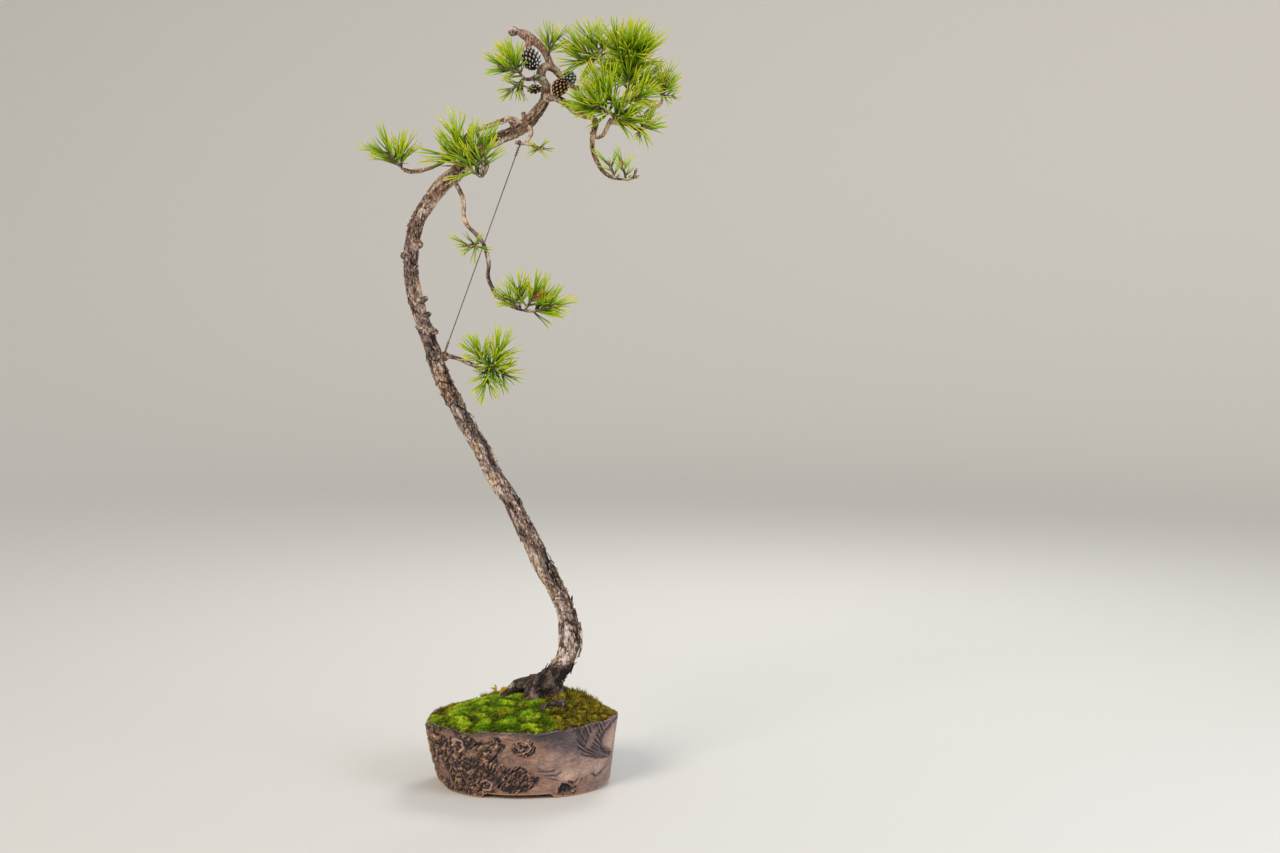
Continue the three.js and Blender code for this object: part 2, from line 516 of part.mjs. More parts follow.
// Needle sprays: each has shoots, and a shoot is a short curve that its needles stand out from.
// reach scales the needles' length, fill is the share of facets that bear one, and from is how far
// along the shoot they start.
const SPRAYS = {
  spray_far_left: [
    { axis: [[-122.6, -19.1, 665.2], [-126, -19.8, 668], [-131, -21, 676], [-138, -22, 685]] },
    { axis: [[-125, -19.5, 668], [-124.5, -15, 678], [-124, -10, 687]], reach: 0.9 },
    { axis: [[-127, -20, 669], [-132, -28, 675], [-140, -34, 679]], reach: 0.85 },
  ],
  spray_left: [
    { axis: [[-36.2, -30.7, 659], [-38, -34, 656.5], [-46, -35, 661], [-55, -32, 671], [-66, -28, 685]] },
    { axis: [[-41, -35, 658], [-44, -36, 672], [-53, -35, 692]] },
    { axis: [[-57, -31, 674], [-67, -33, 677], [-77, -36, 679]] },
    { axis: [[-38.5, -35, 657], [-36.5, -39, 673], [-32, -42, 685]] },
    { axis: [[-58, -30, 676], [-63, -24, 690], [-67, -18, 703]] },
    { axis: [[-46, -35.5, 678], [-42, -27, 690], [-37, -19, 701]], reach: 0.9, from: 0.3 },
  ],
  spray_under: [
    { axis: [[20.6, -12.2, 688.9], [25, -14, 688]], reach: 0.46, fill: 1 },
    { axis: [[22.5, -13.4, 688.4], [19, -18, 687]], reach: 0.42, fill: 1 },
  ],
  spray_cone_side: [
    { axis: [[7.4, -16.9, 759.9], [2, -20, 766], [-10, -23, 782]], reach: 0.86 },
    { axis: [[5.6, -18, 761], [-1, -21, 754], [-9, -24, 747]], reach: 0.62 },
    { axis: [[5, -18.4, 761.5], [6.5, -24, 753], [8, -27, 746]], reach: 0.4, fill: 0.5 },
    { axis: [[2, -20, 766], [-2, -14, 775], [-7, -8, 786]], reach: 0.8 },
    { axis: [[1, -20.5, 767], [-9, -28, 769], [-17, -33, 771]], reach: 0.8 },
  ],
  spray_stub: [
    { axis: [[30.6, -8.6, 786.4], [33, -12, 791], [31, -14, 801]], reach: 0.72 },
    { axis: [[32, -10.8, 789], [36, -9, 796], [39, -7, 804]], reach: 0.7 },
  ],
  spray_top_left: [
    { axis: [[86.8, 10.9, 783.6], [84, 11, 787], [74, 9, 790], [63, 6, 797]] },
    { axis: [[84.5, 11, 786.5], [75, 4, 783], [63, -2, 781]], reach: 0.9 },
    { axis: [[85.6, 11, 785.4], [88, 12, 795], [88, 13, 803]], reach: 0.95 },
    { axis: [[86.5, 11.5, 789], [81, 20, 800], [77, 26, 808]] },
  ],
  spray_crown: [
    { axis: [[99.4, -14.9, 721], [104, -13, 728], [110, -10, 738], [115, -7, 748], [117, -4, 757],
      [116, -1, 767], [115, 0, 780], [117, 0, 792]], from: 0.5 },
    { axis: [[100.4, -15, 723], [91, -22, 727], [80, -29, 735]] },
    { axis: [[93, -20.5, 726], [82, -31, 729], [71, -36, 732]], reach: 0.9 },
    { axis: [[105, -12.6, 730], [97, -22, 740], [88, -29, 751]] },
    { axis: [[109, -10.5, 736], [121, -17, 739], [132, -24, 743]], reach: 0.9 },
    { axis: [[115, -7, 747], [127, -2, 755], [136, 4, 762]], reach: 0.9 },
    { axis: [[116, -5, 752], [106, 4, 764], [99, 12, 772]], from: 0.4 },
    { axis: [[117, -4, 757], [118, 14, 767], [119, 27, 778]] },
    { axis: [[116, -1, 768], [126, -7, 780], [134, -11, 792]] },
    { axis: [[115, 0, 774], [108, -9, 785], [104, -16, 797]] },
    { axis: [[115, 0, 779], [119, 13, 790], [124, 22, 800]] },
    { axis: [[115, 0, 783], [118, -14, 789], [120, -24, 796]] },
  ],
  spray_low_right: [
    { axis: [[126.5, -22.1, 706.7], [132, -24, 709], [138, -25, 712]], reach: 0.84 },
    { axis: [[129.4, -23, 708], [133, -16, 709], [138, -7, 712]], reach: 0.8 },
    { axis: [[129, -23, 707.6], [128, -27, 702]], reach: 0.35, fill: 0.5 },
  ],
  spray_right: [
    { axis: [[153.1, 6.1, 742.7], [152, 6, 751], [152, 7, 761]], reach: 0.84 },
    { axis: [[153, 6, 746], [156, 0, 752], [158, -5, 760]], reach: 0.66 },
    { axis: [[153, 6, 746], [156, 13, 752], [157, 19, 758]], reach: 0.66 },
    { axis: [[153, 6, 745.6], [159, 5, 745], [164, 4, 744]], reach: 0.4, fill: 0.5 },
  ],
  spray_drop: [
    { axis: [[98.5, -21, 656.2], [107, -21, 655], [118, -21, 655], [124, -21, 657]], reach: 0.2,
      fill: 0.1 },
    { axis: [[102, -21, 655.6], [99, -23, 665], [96, -25, 671]], reach: 0.7, fill: 0.6 },
    { axis: [[114, -21, 655], [112, -23, 664], [111, -24, 670]], reach: 0.7, fill: 0.6 },
    { axis: [[122, -21, 656.5], [124, -21, 662]], fill: 0 },
  ],
  spray_hanging_side: [
    { axis: [[-42.6, -23.6, 587.6], [-48, -26, 586], [-56, -29, 584]], reach: 0.66, fill: 0.7 },
    { axis: [[-46, -25.2, 586.5], [-45, -31, 584], [-43, -37, 583]], reach: 0.6, fill: 0.6 },
  ],
  spray_hanging_end: [
    { axis: [[-3.5, -23.1, 517.6], [8, -22, 515], [19, -20, 515], [28, -18, 516]], from: 0.6, reach: 0.9 },
    { axis: [[1, -22.8, 516.6], [1, -26, 527], [1, -29, 538]], reach: 0.8 },
    { axis: [[2, -22.8, 516.4], [-6, -28, 524], [-13, -32, 529]], reach: 0.66 },
    { axis: [[6, -22, 515.5], [13, -26, 526], [18, -30, 536]], reach: 0.84 },
    { axis: [[20, -20, 515], [30, -24, 519], [38, -28, 521]], reach: 0.82 },
    { axis: [[19, -20, 515], [22, -12, 525], [25, -5, 532]], reach: 0.8 },
  ],
  spray_low: [
    { axis: [[-34.4, -23.5, 453], [-31, -31, 455], [-27, -46, 457]], reach: 0.9 },
    { axis: [[-32.4, -27.6, 453.6], [-25, -30, 464], [-20, -32, 474]], reach: 0.84 },
    { axis: [[-32.6, -27.4, 453.6], [-22, -31, 450], [-14, -35, 448]], reach: 0.78 },
    { axis: [[-32.6, -27.4, 453.4], [-34, -32, 444], [-36, -36, 436]], reach: 0.78 },
    { axis: [[-32.8, -27.2, 453.8], [-40, -31, 464], [-45, -35, 472]], reach: 0.78 },
  ],
}

// Clearances: every straight stretch that a needle has to keep clear of, with its thickness
const stretches = []
function curveOf(route) {
  return new THREE.CatmullRomCurve3(route.map(vector), false, 'centripetal')
}

function keepClear(owner, route, radius, shoot) {
  const curve = curveOf(route)
  const count = Math.max(1, Math.ceil(curve.getLength() / 6))
  const points = curve.getSpacedPoints(count)
  for (let i = 0; i < count; i += 1) {
    stretches.push({ owner, shoot, line: new THREE.Line3(points[i], points[i + 1]), radius, taper: 0 })
  }
}

// The shortest way between two stretches, and how far along each of them it lies
function nearest(one, other) {
  const along = one.delta(new THREE.Vector3())
  const across = other.delta(new THREE.Vector3())
  const offset = one.start.clone().sub(other.start)
  const a = along.dot(along)
  const b = along.dot(across)
  const c = across.dot(across)
  const d = along.dot(offset)
  const e = across.dot(offset)
  const spread = a * c - b * b
  let s = spread > 1e-9 ? THREE.MathUtils.clamp((b * e - c * d) / spread, 0, 1) : 0
  const t = THREE.MathUtils.clamp((b * s + e) / c, 0, 1)
  s = THREE.MathUtils.clamp((b * t - d) / a, 0, 1)
  const distance = one.at(s, new THREE.Vector3()).distanceTo(other.at(t, new THREE.Vector3()))
  return { distance, s, t }
}

// Needles of one shoot stand side by side at their feet, so only their free lengths are compared
function isClear(name, shoot, line) {
  const free = new THREE.Line3(line.at(NEEDLE_FOOT_SHARE, new THREE.Vector3()), line.end)
  return stretches.every((stretch) => {
    const same = stretch.owner === name
    if (same && stretch.shoot === shoot && !stretch.taper) return true
    const { distance, s, t } = nearest(same ? free : line, stretch.line)
    const thickness = NEEDLE_RADIUS * (1 - s) + stretch.radius * (1 - t * stretch.taper)
    return distance > thickness + (same ? 0.1 : NEEDLE_CLEARANCE)
  })
}

// The way a needle leans: wide open near the shoot's foot, nearly shut at its tip, lifted to the light
function needleWay(ahead, side, opening) {
  const open = degrees(opening + NEEDLE_OPENING.jitter * (2 * random() - 1))
  const way = ahead.clone().multiplyScalar(Math.cos(open)).addScaledVector(side, Math.sin(open))
  way.z += NEEDLE_LIFT
  way.addScaledVector(side, Math.max(0, 0.2 - way.dot(side)))
  return way.normalize()
}

// A shoot: a slim core in staggered rows, whose facets are drawn out into three-sided needles
function makeShoot(name, shoot) {
  const { axis, from = 0.22, fill = 0.8, reach = 1 } = shoot
  const curve = curveOf(axis)
  const rows = Math.max(2, Math.round(curve.getLength() / SHOOT_ROW))
  const frames = curve.computeFrenetFrames(rows)
  const points = []
  for (let i = 0; i <= rows; i += 1) {
    const centre = curve.getPointAt(i / rows)
    const radius = SHOOT_RADIUS * (i === 0 ? SHOOT_FOOT : 1)
    for (let j = 0; j < SHOOT_SIDES; j += 1) {
      const angle = (j + i / 2) / SHOOT_SIDES * 2 * Math.PI + i * SHOOT_TWIST
      const point = centre.clone().addScaledVector(frames.normals[i], Math.cos(angle) * radius)
      points.push(point.addScaledVector(frames.binormals[i], Math.sin(angle) * radius))
    }
  }
  const foot = points.push(curve.getPointAt(0)) - 1
  const bud = points.push(curve.getPointAt(1).addScaledVector(frames.tangents[rows], 1.5)) - 1
  const faces = []
  const drawOut = (a, b, c, row, opening) => {
    const centre = points[a].clone().add(points[b]).add(points[c]).divideScalar(3)
    const ahead = frames.tangents[row]
    const side = centre.clone().sub(curve.getPointAt(row / rows)).projectOnPlane(ahead).normalize()
    for (let attempt = 0; attempt < 6; attempt += 1) {
      const length = NEEDLE_LENGTH * reach * (0.86 + 0.22 * random())
      const tip = centre.clone().addScaledVector(needleWay(ahead, side, opening), length)
      const line = new THREE.Line3(centre, tip)
      if (isClear(name, shoot, line)) {
        stretches.push({ owner: name, shoot, line, radius: NEEDLE_RADIUS, taper: 1 })
        const peak = points.push(tip) - 1
        faces.push(a, b, peak, b, c, peak, c, a, peak)
        return
      }
    }
    faces.push(a, b, c)
  }
  for (let i = 0; i < rows; i += 1) {
    for (let j = 0; j < SHOOT_SIDES; j += 1) {
      const a = i * SHOOT_SIDES + j
      const b = i * SHOOT_SIDES + (j + 1) % SHOOT_SIDES
      const [c, d] = [a + SHOOT_SIDES, b + SHOOT_SIDES]
      const t = i / rows
      faces.push(b, d, c)
      if (t >= from && random() < fill) {
        drawOut(a, b, c, i, mix(NEEDLE_OPENING.foot, NEEDLE_OPENING.tip, t))
      } else {
        faces.push(a, b, c)
      }
    }
  }
  const last = rows * SHOOT_SIDES
  for (let j = 0; j < SHOOT_SIDES; j += 1) {
    const k = (j + 1) % SHOOT_SIDES
    faces.push(foot, k, j)
    if (fill > 0) drawOut(last + j, last + k, bud, rows, NEEDLE_OPENING.end)
    else faces.push(last + j, last + k, bud)
  }
  const skin = new THREE.BufferGeometry().setFromPoints(points)
  skin.setIndex(faces)
  return solidOf(skin)
}

// Colours and finishes
const FINISHES = {
  clay: { color: '#6f5a55', roughness: 0.82 },
  plastic: { color: '#23292b', roughness: 0.6 },
  soil: { color: '#3b2f26', roughness: 0.95 },
  cushionMoss: { color: '#5f7d16', roughness: 0.95 },
  brownMoss: { color: '#6b5f18', roughness: 0.95 },
  bark: { color: '#725f56', roughness: 0.9 },
  needles: { color: '#8ea022', roughness: 0.55 },
  cone: { color: '#786858', roughness: 0.8 },
  wire: { color: '#5a5050', roughness: 0.4, metalness: 0.8 },
  rubber: { color: '#7a4a3e', roughness: 0.8 },
  sprig: { color: '#b39a1e', roughness: 0.7 },
}

const bonsai = new THREE.Group()
bonsai.position.set(-MIDDLE.x, -MIDDLE.y, 0)

function place(name, geometry, finish) {
  const mesh = new THREE.Mesh(geometry, new THREE.MeshStandardMaterial(FINISHES[finish]))
  mesh.name = name
  bonsai.add(mesh)
}

place('pot', geometryOf(makePot()), 'clay')
place('drain_mesh', geometryOf(makeDrainMesh()), 'plastic')
const { soil, green, brown } = makeSoilAndMoss()
place('soil', geometryOf(soil), 'soil')
place('moss_green', geometryOf(green), 'cushionMoss')
place('moss_brown', geometryOf(brown), 'brownMoss')
place('tree', geometryOf(makeTree()), 'bark')
place('sprig', geometryOf(makeSprig()), 'sprig')
place('guy_wire', geometryOf(makeWire()), 'wire')
place('wire_sleeve', geometryOf(makeSleeve()), 'rubber')
for (const cone of CONES) place(cone.name, makeCone(cone), 'cone')

keepClear('tree', TRUNK, 9)
for (const route of Object.values(LIMBS)) keepClear('tree', route, route[Math.floor(route.length / 2)][3])
keepClear('guy_wire', [WIRE_TOP.at, WIRE_FOOT.at], WIRE_RADIUS)
for (const { name, seat, toward, long, wide } of CONES) {
  const tip = vector(seat).addScaledVector(vector(toward).normalize(), long)
  keepClear(name, [seat, tip.toArray()], wide * 0.58)
}
for (const [name, shoots] of Object.entries(SPRAYS)) {
  for (const shoot of shoots) keepClear(name, shoot.axis, SHOOT_RADIUS, shoot)
}
for (const [name, shoots] of Object.entries(SPRAYS)) {
  place(name, geometryOf(join(shoots.map((shoot) => makeShoot(name, shoot)))), 'needles')
}

export default bonsai
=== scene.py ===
# Pitch pine bonsai in a hand-built clay pot: the looks of every piece, built round its solid model.
# Routes and outlines are written in millimetres from the middle of the pot, as a potter and a
# grower would measure them, and each mesh is moved to the model's own frame as it is made.
import math

import bpy
import numpy as np
from bpy.props import FloatProperty, FloatVectorProperty, IntProperty, PointerProperty
from bpy.types import Operator, Panel, PropertyGroup
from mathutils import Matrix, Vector


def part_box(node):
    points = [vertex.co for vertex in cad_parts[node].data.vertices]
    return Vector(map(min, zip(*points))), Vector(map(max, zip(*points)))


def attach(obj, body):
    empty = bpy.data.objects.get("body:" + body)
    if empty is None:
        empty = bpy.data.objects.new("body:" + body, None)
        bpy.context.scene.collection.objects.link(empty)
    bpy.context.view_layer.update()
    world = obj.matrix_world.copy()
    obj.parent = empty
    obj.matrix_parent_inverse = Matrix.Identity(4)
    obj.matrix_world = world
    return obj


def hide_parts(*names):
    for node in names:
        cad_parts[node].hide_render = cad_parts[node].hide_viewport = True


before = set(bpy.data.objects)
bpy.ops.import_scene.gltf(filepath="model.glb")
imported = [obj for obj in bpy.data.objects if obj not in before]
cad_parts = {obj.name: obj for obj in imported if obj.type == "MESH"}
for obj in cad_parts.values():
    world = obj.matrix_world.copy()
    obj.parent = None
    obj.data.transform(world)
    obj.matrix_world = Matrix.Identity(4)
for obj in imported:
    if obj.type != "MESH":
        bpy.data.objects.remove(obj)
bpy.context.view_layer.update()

bl_info = {
    "name": "Pitch pine bonsai",
    "version": (1, 0, 0),
    "blender": (4, 5, 0),
    "location": "3D View > Sidebar > Bonsai",
    "description": "Builds a pitch pine bonsai with its pot, moss, cones and guy wire",
    "category": "Object",
}

MM = 0.001
DRAIN_BOX = np.array(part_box("drain_mesh"))
POT_MIDDLE = (DRAIN_BOX[0] + DRAIN_BOX[1]) / 2 * [1, 1, 0]
GOLDEN_TURN = math.radians(137.508)
# What the settings of one kind have in common
COLOUR = {"subtype": "COLOR", "min": 0, "max": 1}
LENGTH = {"unit": "LENGTH", "subtype": "DISTANCE"}


# Shared tools
def linear(colour):
    """Linear red, green, blue and alpha of an sRGB hex colour, or of a colour setting."""
    if not isinstance(colour, str):
        return (*colour, 1.0)
    parts = [int(colour[i:i + 2], 16) / 255 for i in (1, 3, 5)]
    return tuple(p / 12.92 if p <= 0.04045 else ((p + 0.055) / 1.055) ** 2.4 for p in parts) + (1.0,)


def smooth(value, low, high):
    """0 below low, 1 above high, and an even ease in between."""
    t = np.clip((value - low) / (high - low), 0, 1)
    return t * t * (3 - 2 * t)


def unit(way):
    """A direction made one long."""
    return np.array(way, float) / np.linalg.norm(way)


def axes_round(way, level=(0, 0, 1.0)):
    """Two directions square to a way and to each other."""
    side = unit(np.cross(way, level))
    return side, np.cross(side, way)


def mesh_piece(name, points, faces, material, attributes=None):
    """A mesh from points in millimetres round the pot's middle, with its material and attributes."""
    mesh = bpy.data.meshes.new(name)
    mesh.from_pydata((np.asarray(points, float) * MM + POT_MIDDLE).tolist(), [], faces)
    for key, values in (attributes or {}).items():
        values = np.asarray(values, np.float32)
        kind, field = ("FLOAT_VECTOR", "vector") if values.ndim == 2 else ("FLOAT", "value")
        mesh.attributes.new(key, kind, "POINT").data.foreach_set(field, values.ravel())
    mesh.materials.append(material)
    mesh.polygons.foreach_set("use_smooth", [True] * len(mesh.polygons))
    mesh.update()
    piece = bpy.data.objects.new(name, mesh)
    bpy.context.scene.collection.objects.link(piece)
    return piece


def settle(piece, slot, *nodes):
    """A finished piece rides on the body and stands for its solids; its slot is not used."""
    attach(piece, "root")
    if nodes:
        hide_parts(*nodes)


def plug(node, values):
    """Puts values, hex colours, sockets or other nodes on a node's inputs, by name or in their order.
    A node stands for its first output in use."""
    for key, value in values.items() if isinstance(values, dict) else enumerate(values):
        if isinstance(value, bpy.types.Node):
            value = next(output for output in value.outputs if output.enabled)
        if isinstance(value, bpy.types.NodeSocket):
            node.id_data.links.new(value, node.inputs[key])
        else:
            hexed = isinstance(value, str) and value.startswith("#")
            node.inputs[key].default_value = linear(value) if hexed else value


def node_adder(tree):
    """The function that adds a node to a tree, with what goes on its inputs and its settings."""
    def add(kind, values=(), stops=(), **settings):
        """A new node of this kind; stops are the places and colours of a colour ramp."""
        node = tree.nodes.new(kind)
        for key, value in settings.items():
            setattr(node, key, value)
        while stops and len(node.color_ramp.elements) < len(stops):
            node.color_ramp.elements.new(0.5)
        for number, (place, colour) in enumerate(stops):
            element = node.color_ramp.elements[number]
            element.position, element.color = place, linear(colour)
        plug(node, values)
        return node
    return add


def new_material(name):
    """A material, the function that adds its nodes, its Object coordinates and its shader."""
    material = bpy.data.materials.new(name)
    material.use_nodes = True
    add = node_adder(material.node_tree)
    place = add("ShaderNodeTexCoord").outputs["Object"]
    return material, add, place, material.node_tree.nodes["Principled BSDF"]


def new_tree(name, **inputs):
    """A geometry node tree whose inputs have these kinds and defaults: the function that adds its
    nodes, and its inputs."""
    tree = bpy.data.node_groups.new(name, "GeometryNodeTree")
    inputs = {"Geometry": ("Geometry", None), **inputs, "Material": ("Material", None)}
    for label, (kind, value) in inputs.items():
        socket = tree.interface.new_socket(
            name=label.replace("_", " "), in_out="INPUT", socket_type="NodeSocket" + kind)
        if value is not None:
            socket.default_value = value
    tree.interface.new_socket(name="Geometry", in_out="OUTPUT", socket_type="NodeSocketGeometry")
    add = node_adder(tree)
    return add, add("NodeGroupInput").outputs


def end_tree(add, get, *parts):
    """Ends a tree in Realize Instances and Set Material, and returns it."""
    if len(parts) > 1:
        both = add("GeometryNodeJoinGeometry")
        for part in parts:
            plug(both, [part])
        parts = [both]
    real = add("GeometryNodeRealizeInstances", parts)
    painted = add("GeometryNodeSetMaterial", {"Geometry": real, "Material": get["Material"]})
    plug(add("NodeGroupOutput"), [painted])
    return painted.id_data


def grow_nodes(piece, tree, values):
    """Runs a node tree on a piece and keeps the result as its plain mesh."""
    modifier = piece.modifiers.new(tree.name, "NODES")
    modifier.node_group = tree
    for item in tree.interface.items_tree:
        if item.in_out == "INPUT" and item.name in values:
            modifier[item.identifier] = values[item.name]
    depsgraph = bpy.context.evaluated_depsgraph_get()
    grown = bpy.data.meshes.new_from_object(
        piece.evaluated_get(depsgraph), preserve_all_data_layers=True, depsgraph=depsgraph)
    piece.modifiers.clear()
    old = piece.data
    piece.data = grown
    grown.name = piece.name
    bpy.data.meshes.remove(old)


def smooth_path(route, step):
    """Rows of x, y, z and whatever follows, at even steps along a smooth curve through a route."""
    route = np.asarray(route, float)
    rows = np.vstack([2 * route[0] - route[1], route, 2 * route[-1] - route[-2]])
    dense = []
    for i in range(1, len(rows) - 2):
        a, b, c, d = rows[i - 1:i + 3]
        knots = [0.0]
        for one, other in ((a, b), (b, c), (c, d)):
            knots.append(knots[-1] + max(np.linalg.norm((other - one)[:3]), 1e-6) ** 0.5)
        t0, t1, t2, t3 = knots
        t = np.linspace(t1, t2, 16, endpoint=False)[:, None]
        ab = (t1 - t) / (t1 - t0) * a + (t - t0) / (t1 - t0) * b
        bc = (t2 - t) / (t2 - t1) * b + (t - t1) / (t2 - t1) * c
        cd = (t3 - t) / (t3 - t2) * c + (t - t2) / (t3 - t2) * d
        abc = (t2 - t) / (t2 - t0) * ab + (t - t0) / (t2 - t0) * bc
        bcd = (t3 - t) / (t3 - t1) * bc + (t - t1) / (t3 - t1) * cd
        dense.append((t2 - t) / (t2 - t1) * abc + (t - t1) / (t2 - t1) * bcd)
    dense = np.vstack(dense + [route[-1:]])
    length = np.r_[0, np.cumsum(np.linalg.norm(np.diff(dense[:, :3], axis=0), axis=1))]
    even = np.linspace(0, length[-1], max(2, int(round(length[-1] / step)) + 1))
    return np.stack([np.interp(even, length, dense[:, k]) for k in range(dense.shape[1])], 1), even


def frames_along(path):
    """Tangent, normal and binormal at each row of a path, turning as little as they can."""
    tangents = np.gradient(path[:, :3], axis=0)
    tangents /= np.linalg.norm(tangents, axis=1)[:, None]
    normal = np.array([1.0, 0.0, 0.0] if abs(tangents[0][1]) > 0.9 else [0.0, -1.0, 0.0])
    normals = np.empty_like(tangents)
    for i, tangent in enumerate(tangents):
        normal = unit(normal - (normal @ tangent) * tangent)
        normals[i] = normal
    return tangents, normals, np.cross(tangents, normals)


def grid_faces(rows, sides):
    """Quads over a grid of rows whose sides close on themselves."""
    i, j = np.meshgrid(np.arange(rows - 1), np.arange(sides), indexing="ij")
    a = i * sides + j
    b = i * sides + (j + 1) % sides
    return np.stack([a, b, b + sides, a + sides], -1).reshape(-1, 4).tolist()


def tube_faces(rows, sides):
    """The faces of a tube whose two ends close on the two points that follow its grid."""
    faces = grid_faces(rows, sides)
    last = (rows - 1) * sides
    for j in range(sides):
        k = (j + 1) % sides
        faces += [[rows * sides, k, j], [rows * sides + 1, last + j, last + k]]
    return faces


def slab(top, drop, rows, columns):
    """A thin sheet: its grid of points, the same points dropped, and the faces round both."""
    n = rows * columns
    faces = []
    for i in range(rows - 1):
        for a in range(i * columns, (i + 1) * columns - 1):
            over = [a, a + 1, a + columns + 1, a + columns]
            faces += [over, [v + n for v in over[::-1]]]
    rim = [*range(columns), *range(2 * columns - 1, n, columns), *range(n - 2, n - columns - 1, -1),
           *range(n - 2 * columns, 0, -columns)]
    for a, b in zip(rim, rim[1:] + rim[:1]):
        faces.append([b, a, a + n, b + n])
    return np.vstack([top, np.subtract(top, drop)]), faces


def join_parts(parts):
    """Several skins with the same attributes as one set of points, faces and attributes."""
    points, faces, facts = [], [], {}
    shift = 0
    for part_points, part_faces, part_facts in parts:
        points.append(part_points)
        faces.extend([[v + shift for v in face] for face in part_faces])
        for key, values in part_facts.items():
            facts.setdefault(key, []).append(values)
        shift += len(part_points)
    return np.vstack(points), faces, {key: np.concatenate(values) for key, values in facts.items()}


def cells(across, along, around, rng):
    """Jittered cells over a side that closes after `around` of them: how far inside its cell each
    place lies, from 0 at the crack, a random number for the cell, and the way to its middle."""
    low = int(np.floor(along.min())) - 2
    table = rng.random((int(np.floor(along.max())) - low + 4, around, 3))
    column, row = np.floor(across).astype(int), np.floor(along).astype(int)
    best = np.full(across.shape, 9.0)
    second = best.copy()
    own, aside, above = np.zeros((3, *across.shape))
    for di in (-1, 0, 1):
        for dj in (-1, 0, 1):
            i, j = column + di, row + dj
            jitter = table[j - low, i % around]
            right, up = across - i - 0.1 - 0.8 * jitter[..., 0], along - j - 0.1 - 0.8 * jitter[..., 1]
            reach = np.hypot(right, up)
            closer = reach < best
            second = np.where(closer, best, np.minimum(second, reach))
            own = np.where(closer, jitter[..., 2], own)
            aside, above = np.where(closer, right, aside), np.where(closer, up, above)
            best = np.where(closer, reach, best)
    return second - best, own, aside, above


def noise(points, size, rng, octaves=3):
    """Smooth random waves between about -1 and 1, with the given size in the points' own unit."""
    total = np.zeros(points.shape[:-1])
    weight = 1.0
    for octave in range(octaves):
        for _ in range(5):
            way = rng.normal(size=points.shape[-1])
            way *= 2 ** octave * 2.2 / size / np.linalg.norm(way)
            total += weight * np.sin(points @ way * (0.7 + 0.6 * rng.random()) + rng.random() * 6.283)
        weight *= 0.55
    return total / 4.2


# Wood: every row of a route is x, y, z and radius
TRUNK = [
    [15, 4, 62, 17], [16, 3, 80, 18.5], [20, 0, 98, 16.5], [33, -2, 115, 13.2], [45, 0, 129, 11],
    [52, 3, 144, 10.2], [54, 5, 159, 9.8], [51, 6, 177, 9.4], [44, 4, 199, 9.5], [30, 1, 226, 9.9],
    [17, -3, 253, 9.6], [4, -6, 280, 9.2], [-8, -9, 306, 8.9], [-25, -10, 332, 8.6],
    [-38, -9, 358, 8.5], [-53, -7, 384, 8.4], [-68, -4, 410, 8.4], [-82, 0, 436, 8.2],
    [-93, 4, 462, 8.1], [-101, 7, 488, 7.8], [-111, 9, 514, 7.7], [-117, 9, 540, 7.5],
    [-119, 7, 568, 7.4], [-116, 4, 593, 7.5], [-108, 1, 617, 7.7], [-97, -2, 635, 7.7],
    [-81, -4, 651, 7.6], [-66, -5, 664, 7.2], [-51, -5, 679, 6.8], [-36, -4, 691, 6.6],
    [-21, -2, 700, 6.5], [-6, 0, 707, 6.4], [7, 2, 715, 6.2], [18, 3, 726, 5.8],
    [26, 2, 738, 5.2], [29, 0, 749, 5],
]
ROOTS = [
    [[30, 0, 108, 11], [10, 2, 106, 9.5], [-3, 3, 104, 7.6], [-10, 3, 102.5, 6.4], [-16, 3, 95, 5],
     [-30, 3, 84, 3.4]],
    [[30, 4, 100, 9], [44, 18, 92, 5.5], [54, 30, 80, 3.5], [60, 38, 68, 2.4]],
    [[24, -2, 92, 10], [36, -14, 82, 5.5], [48, -22, 70, 3]],
    [[20, -4, 84, 8], [18, -20, 84, 4.6], [22, -31, 87, 3], [29, -33, 88.8, 4], [37.5, -32, 90.2, 4.8],
     [44, -30, 90.8, 5.2], [47.5, -29.5, 90, 4.4]],
]
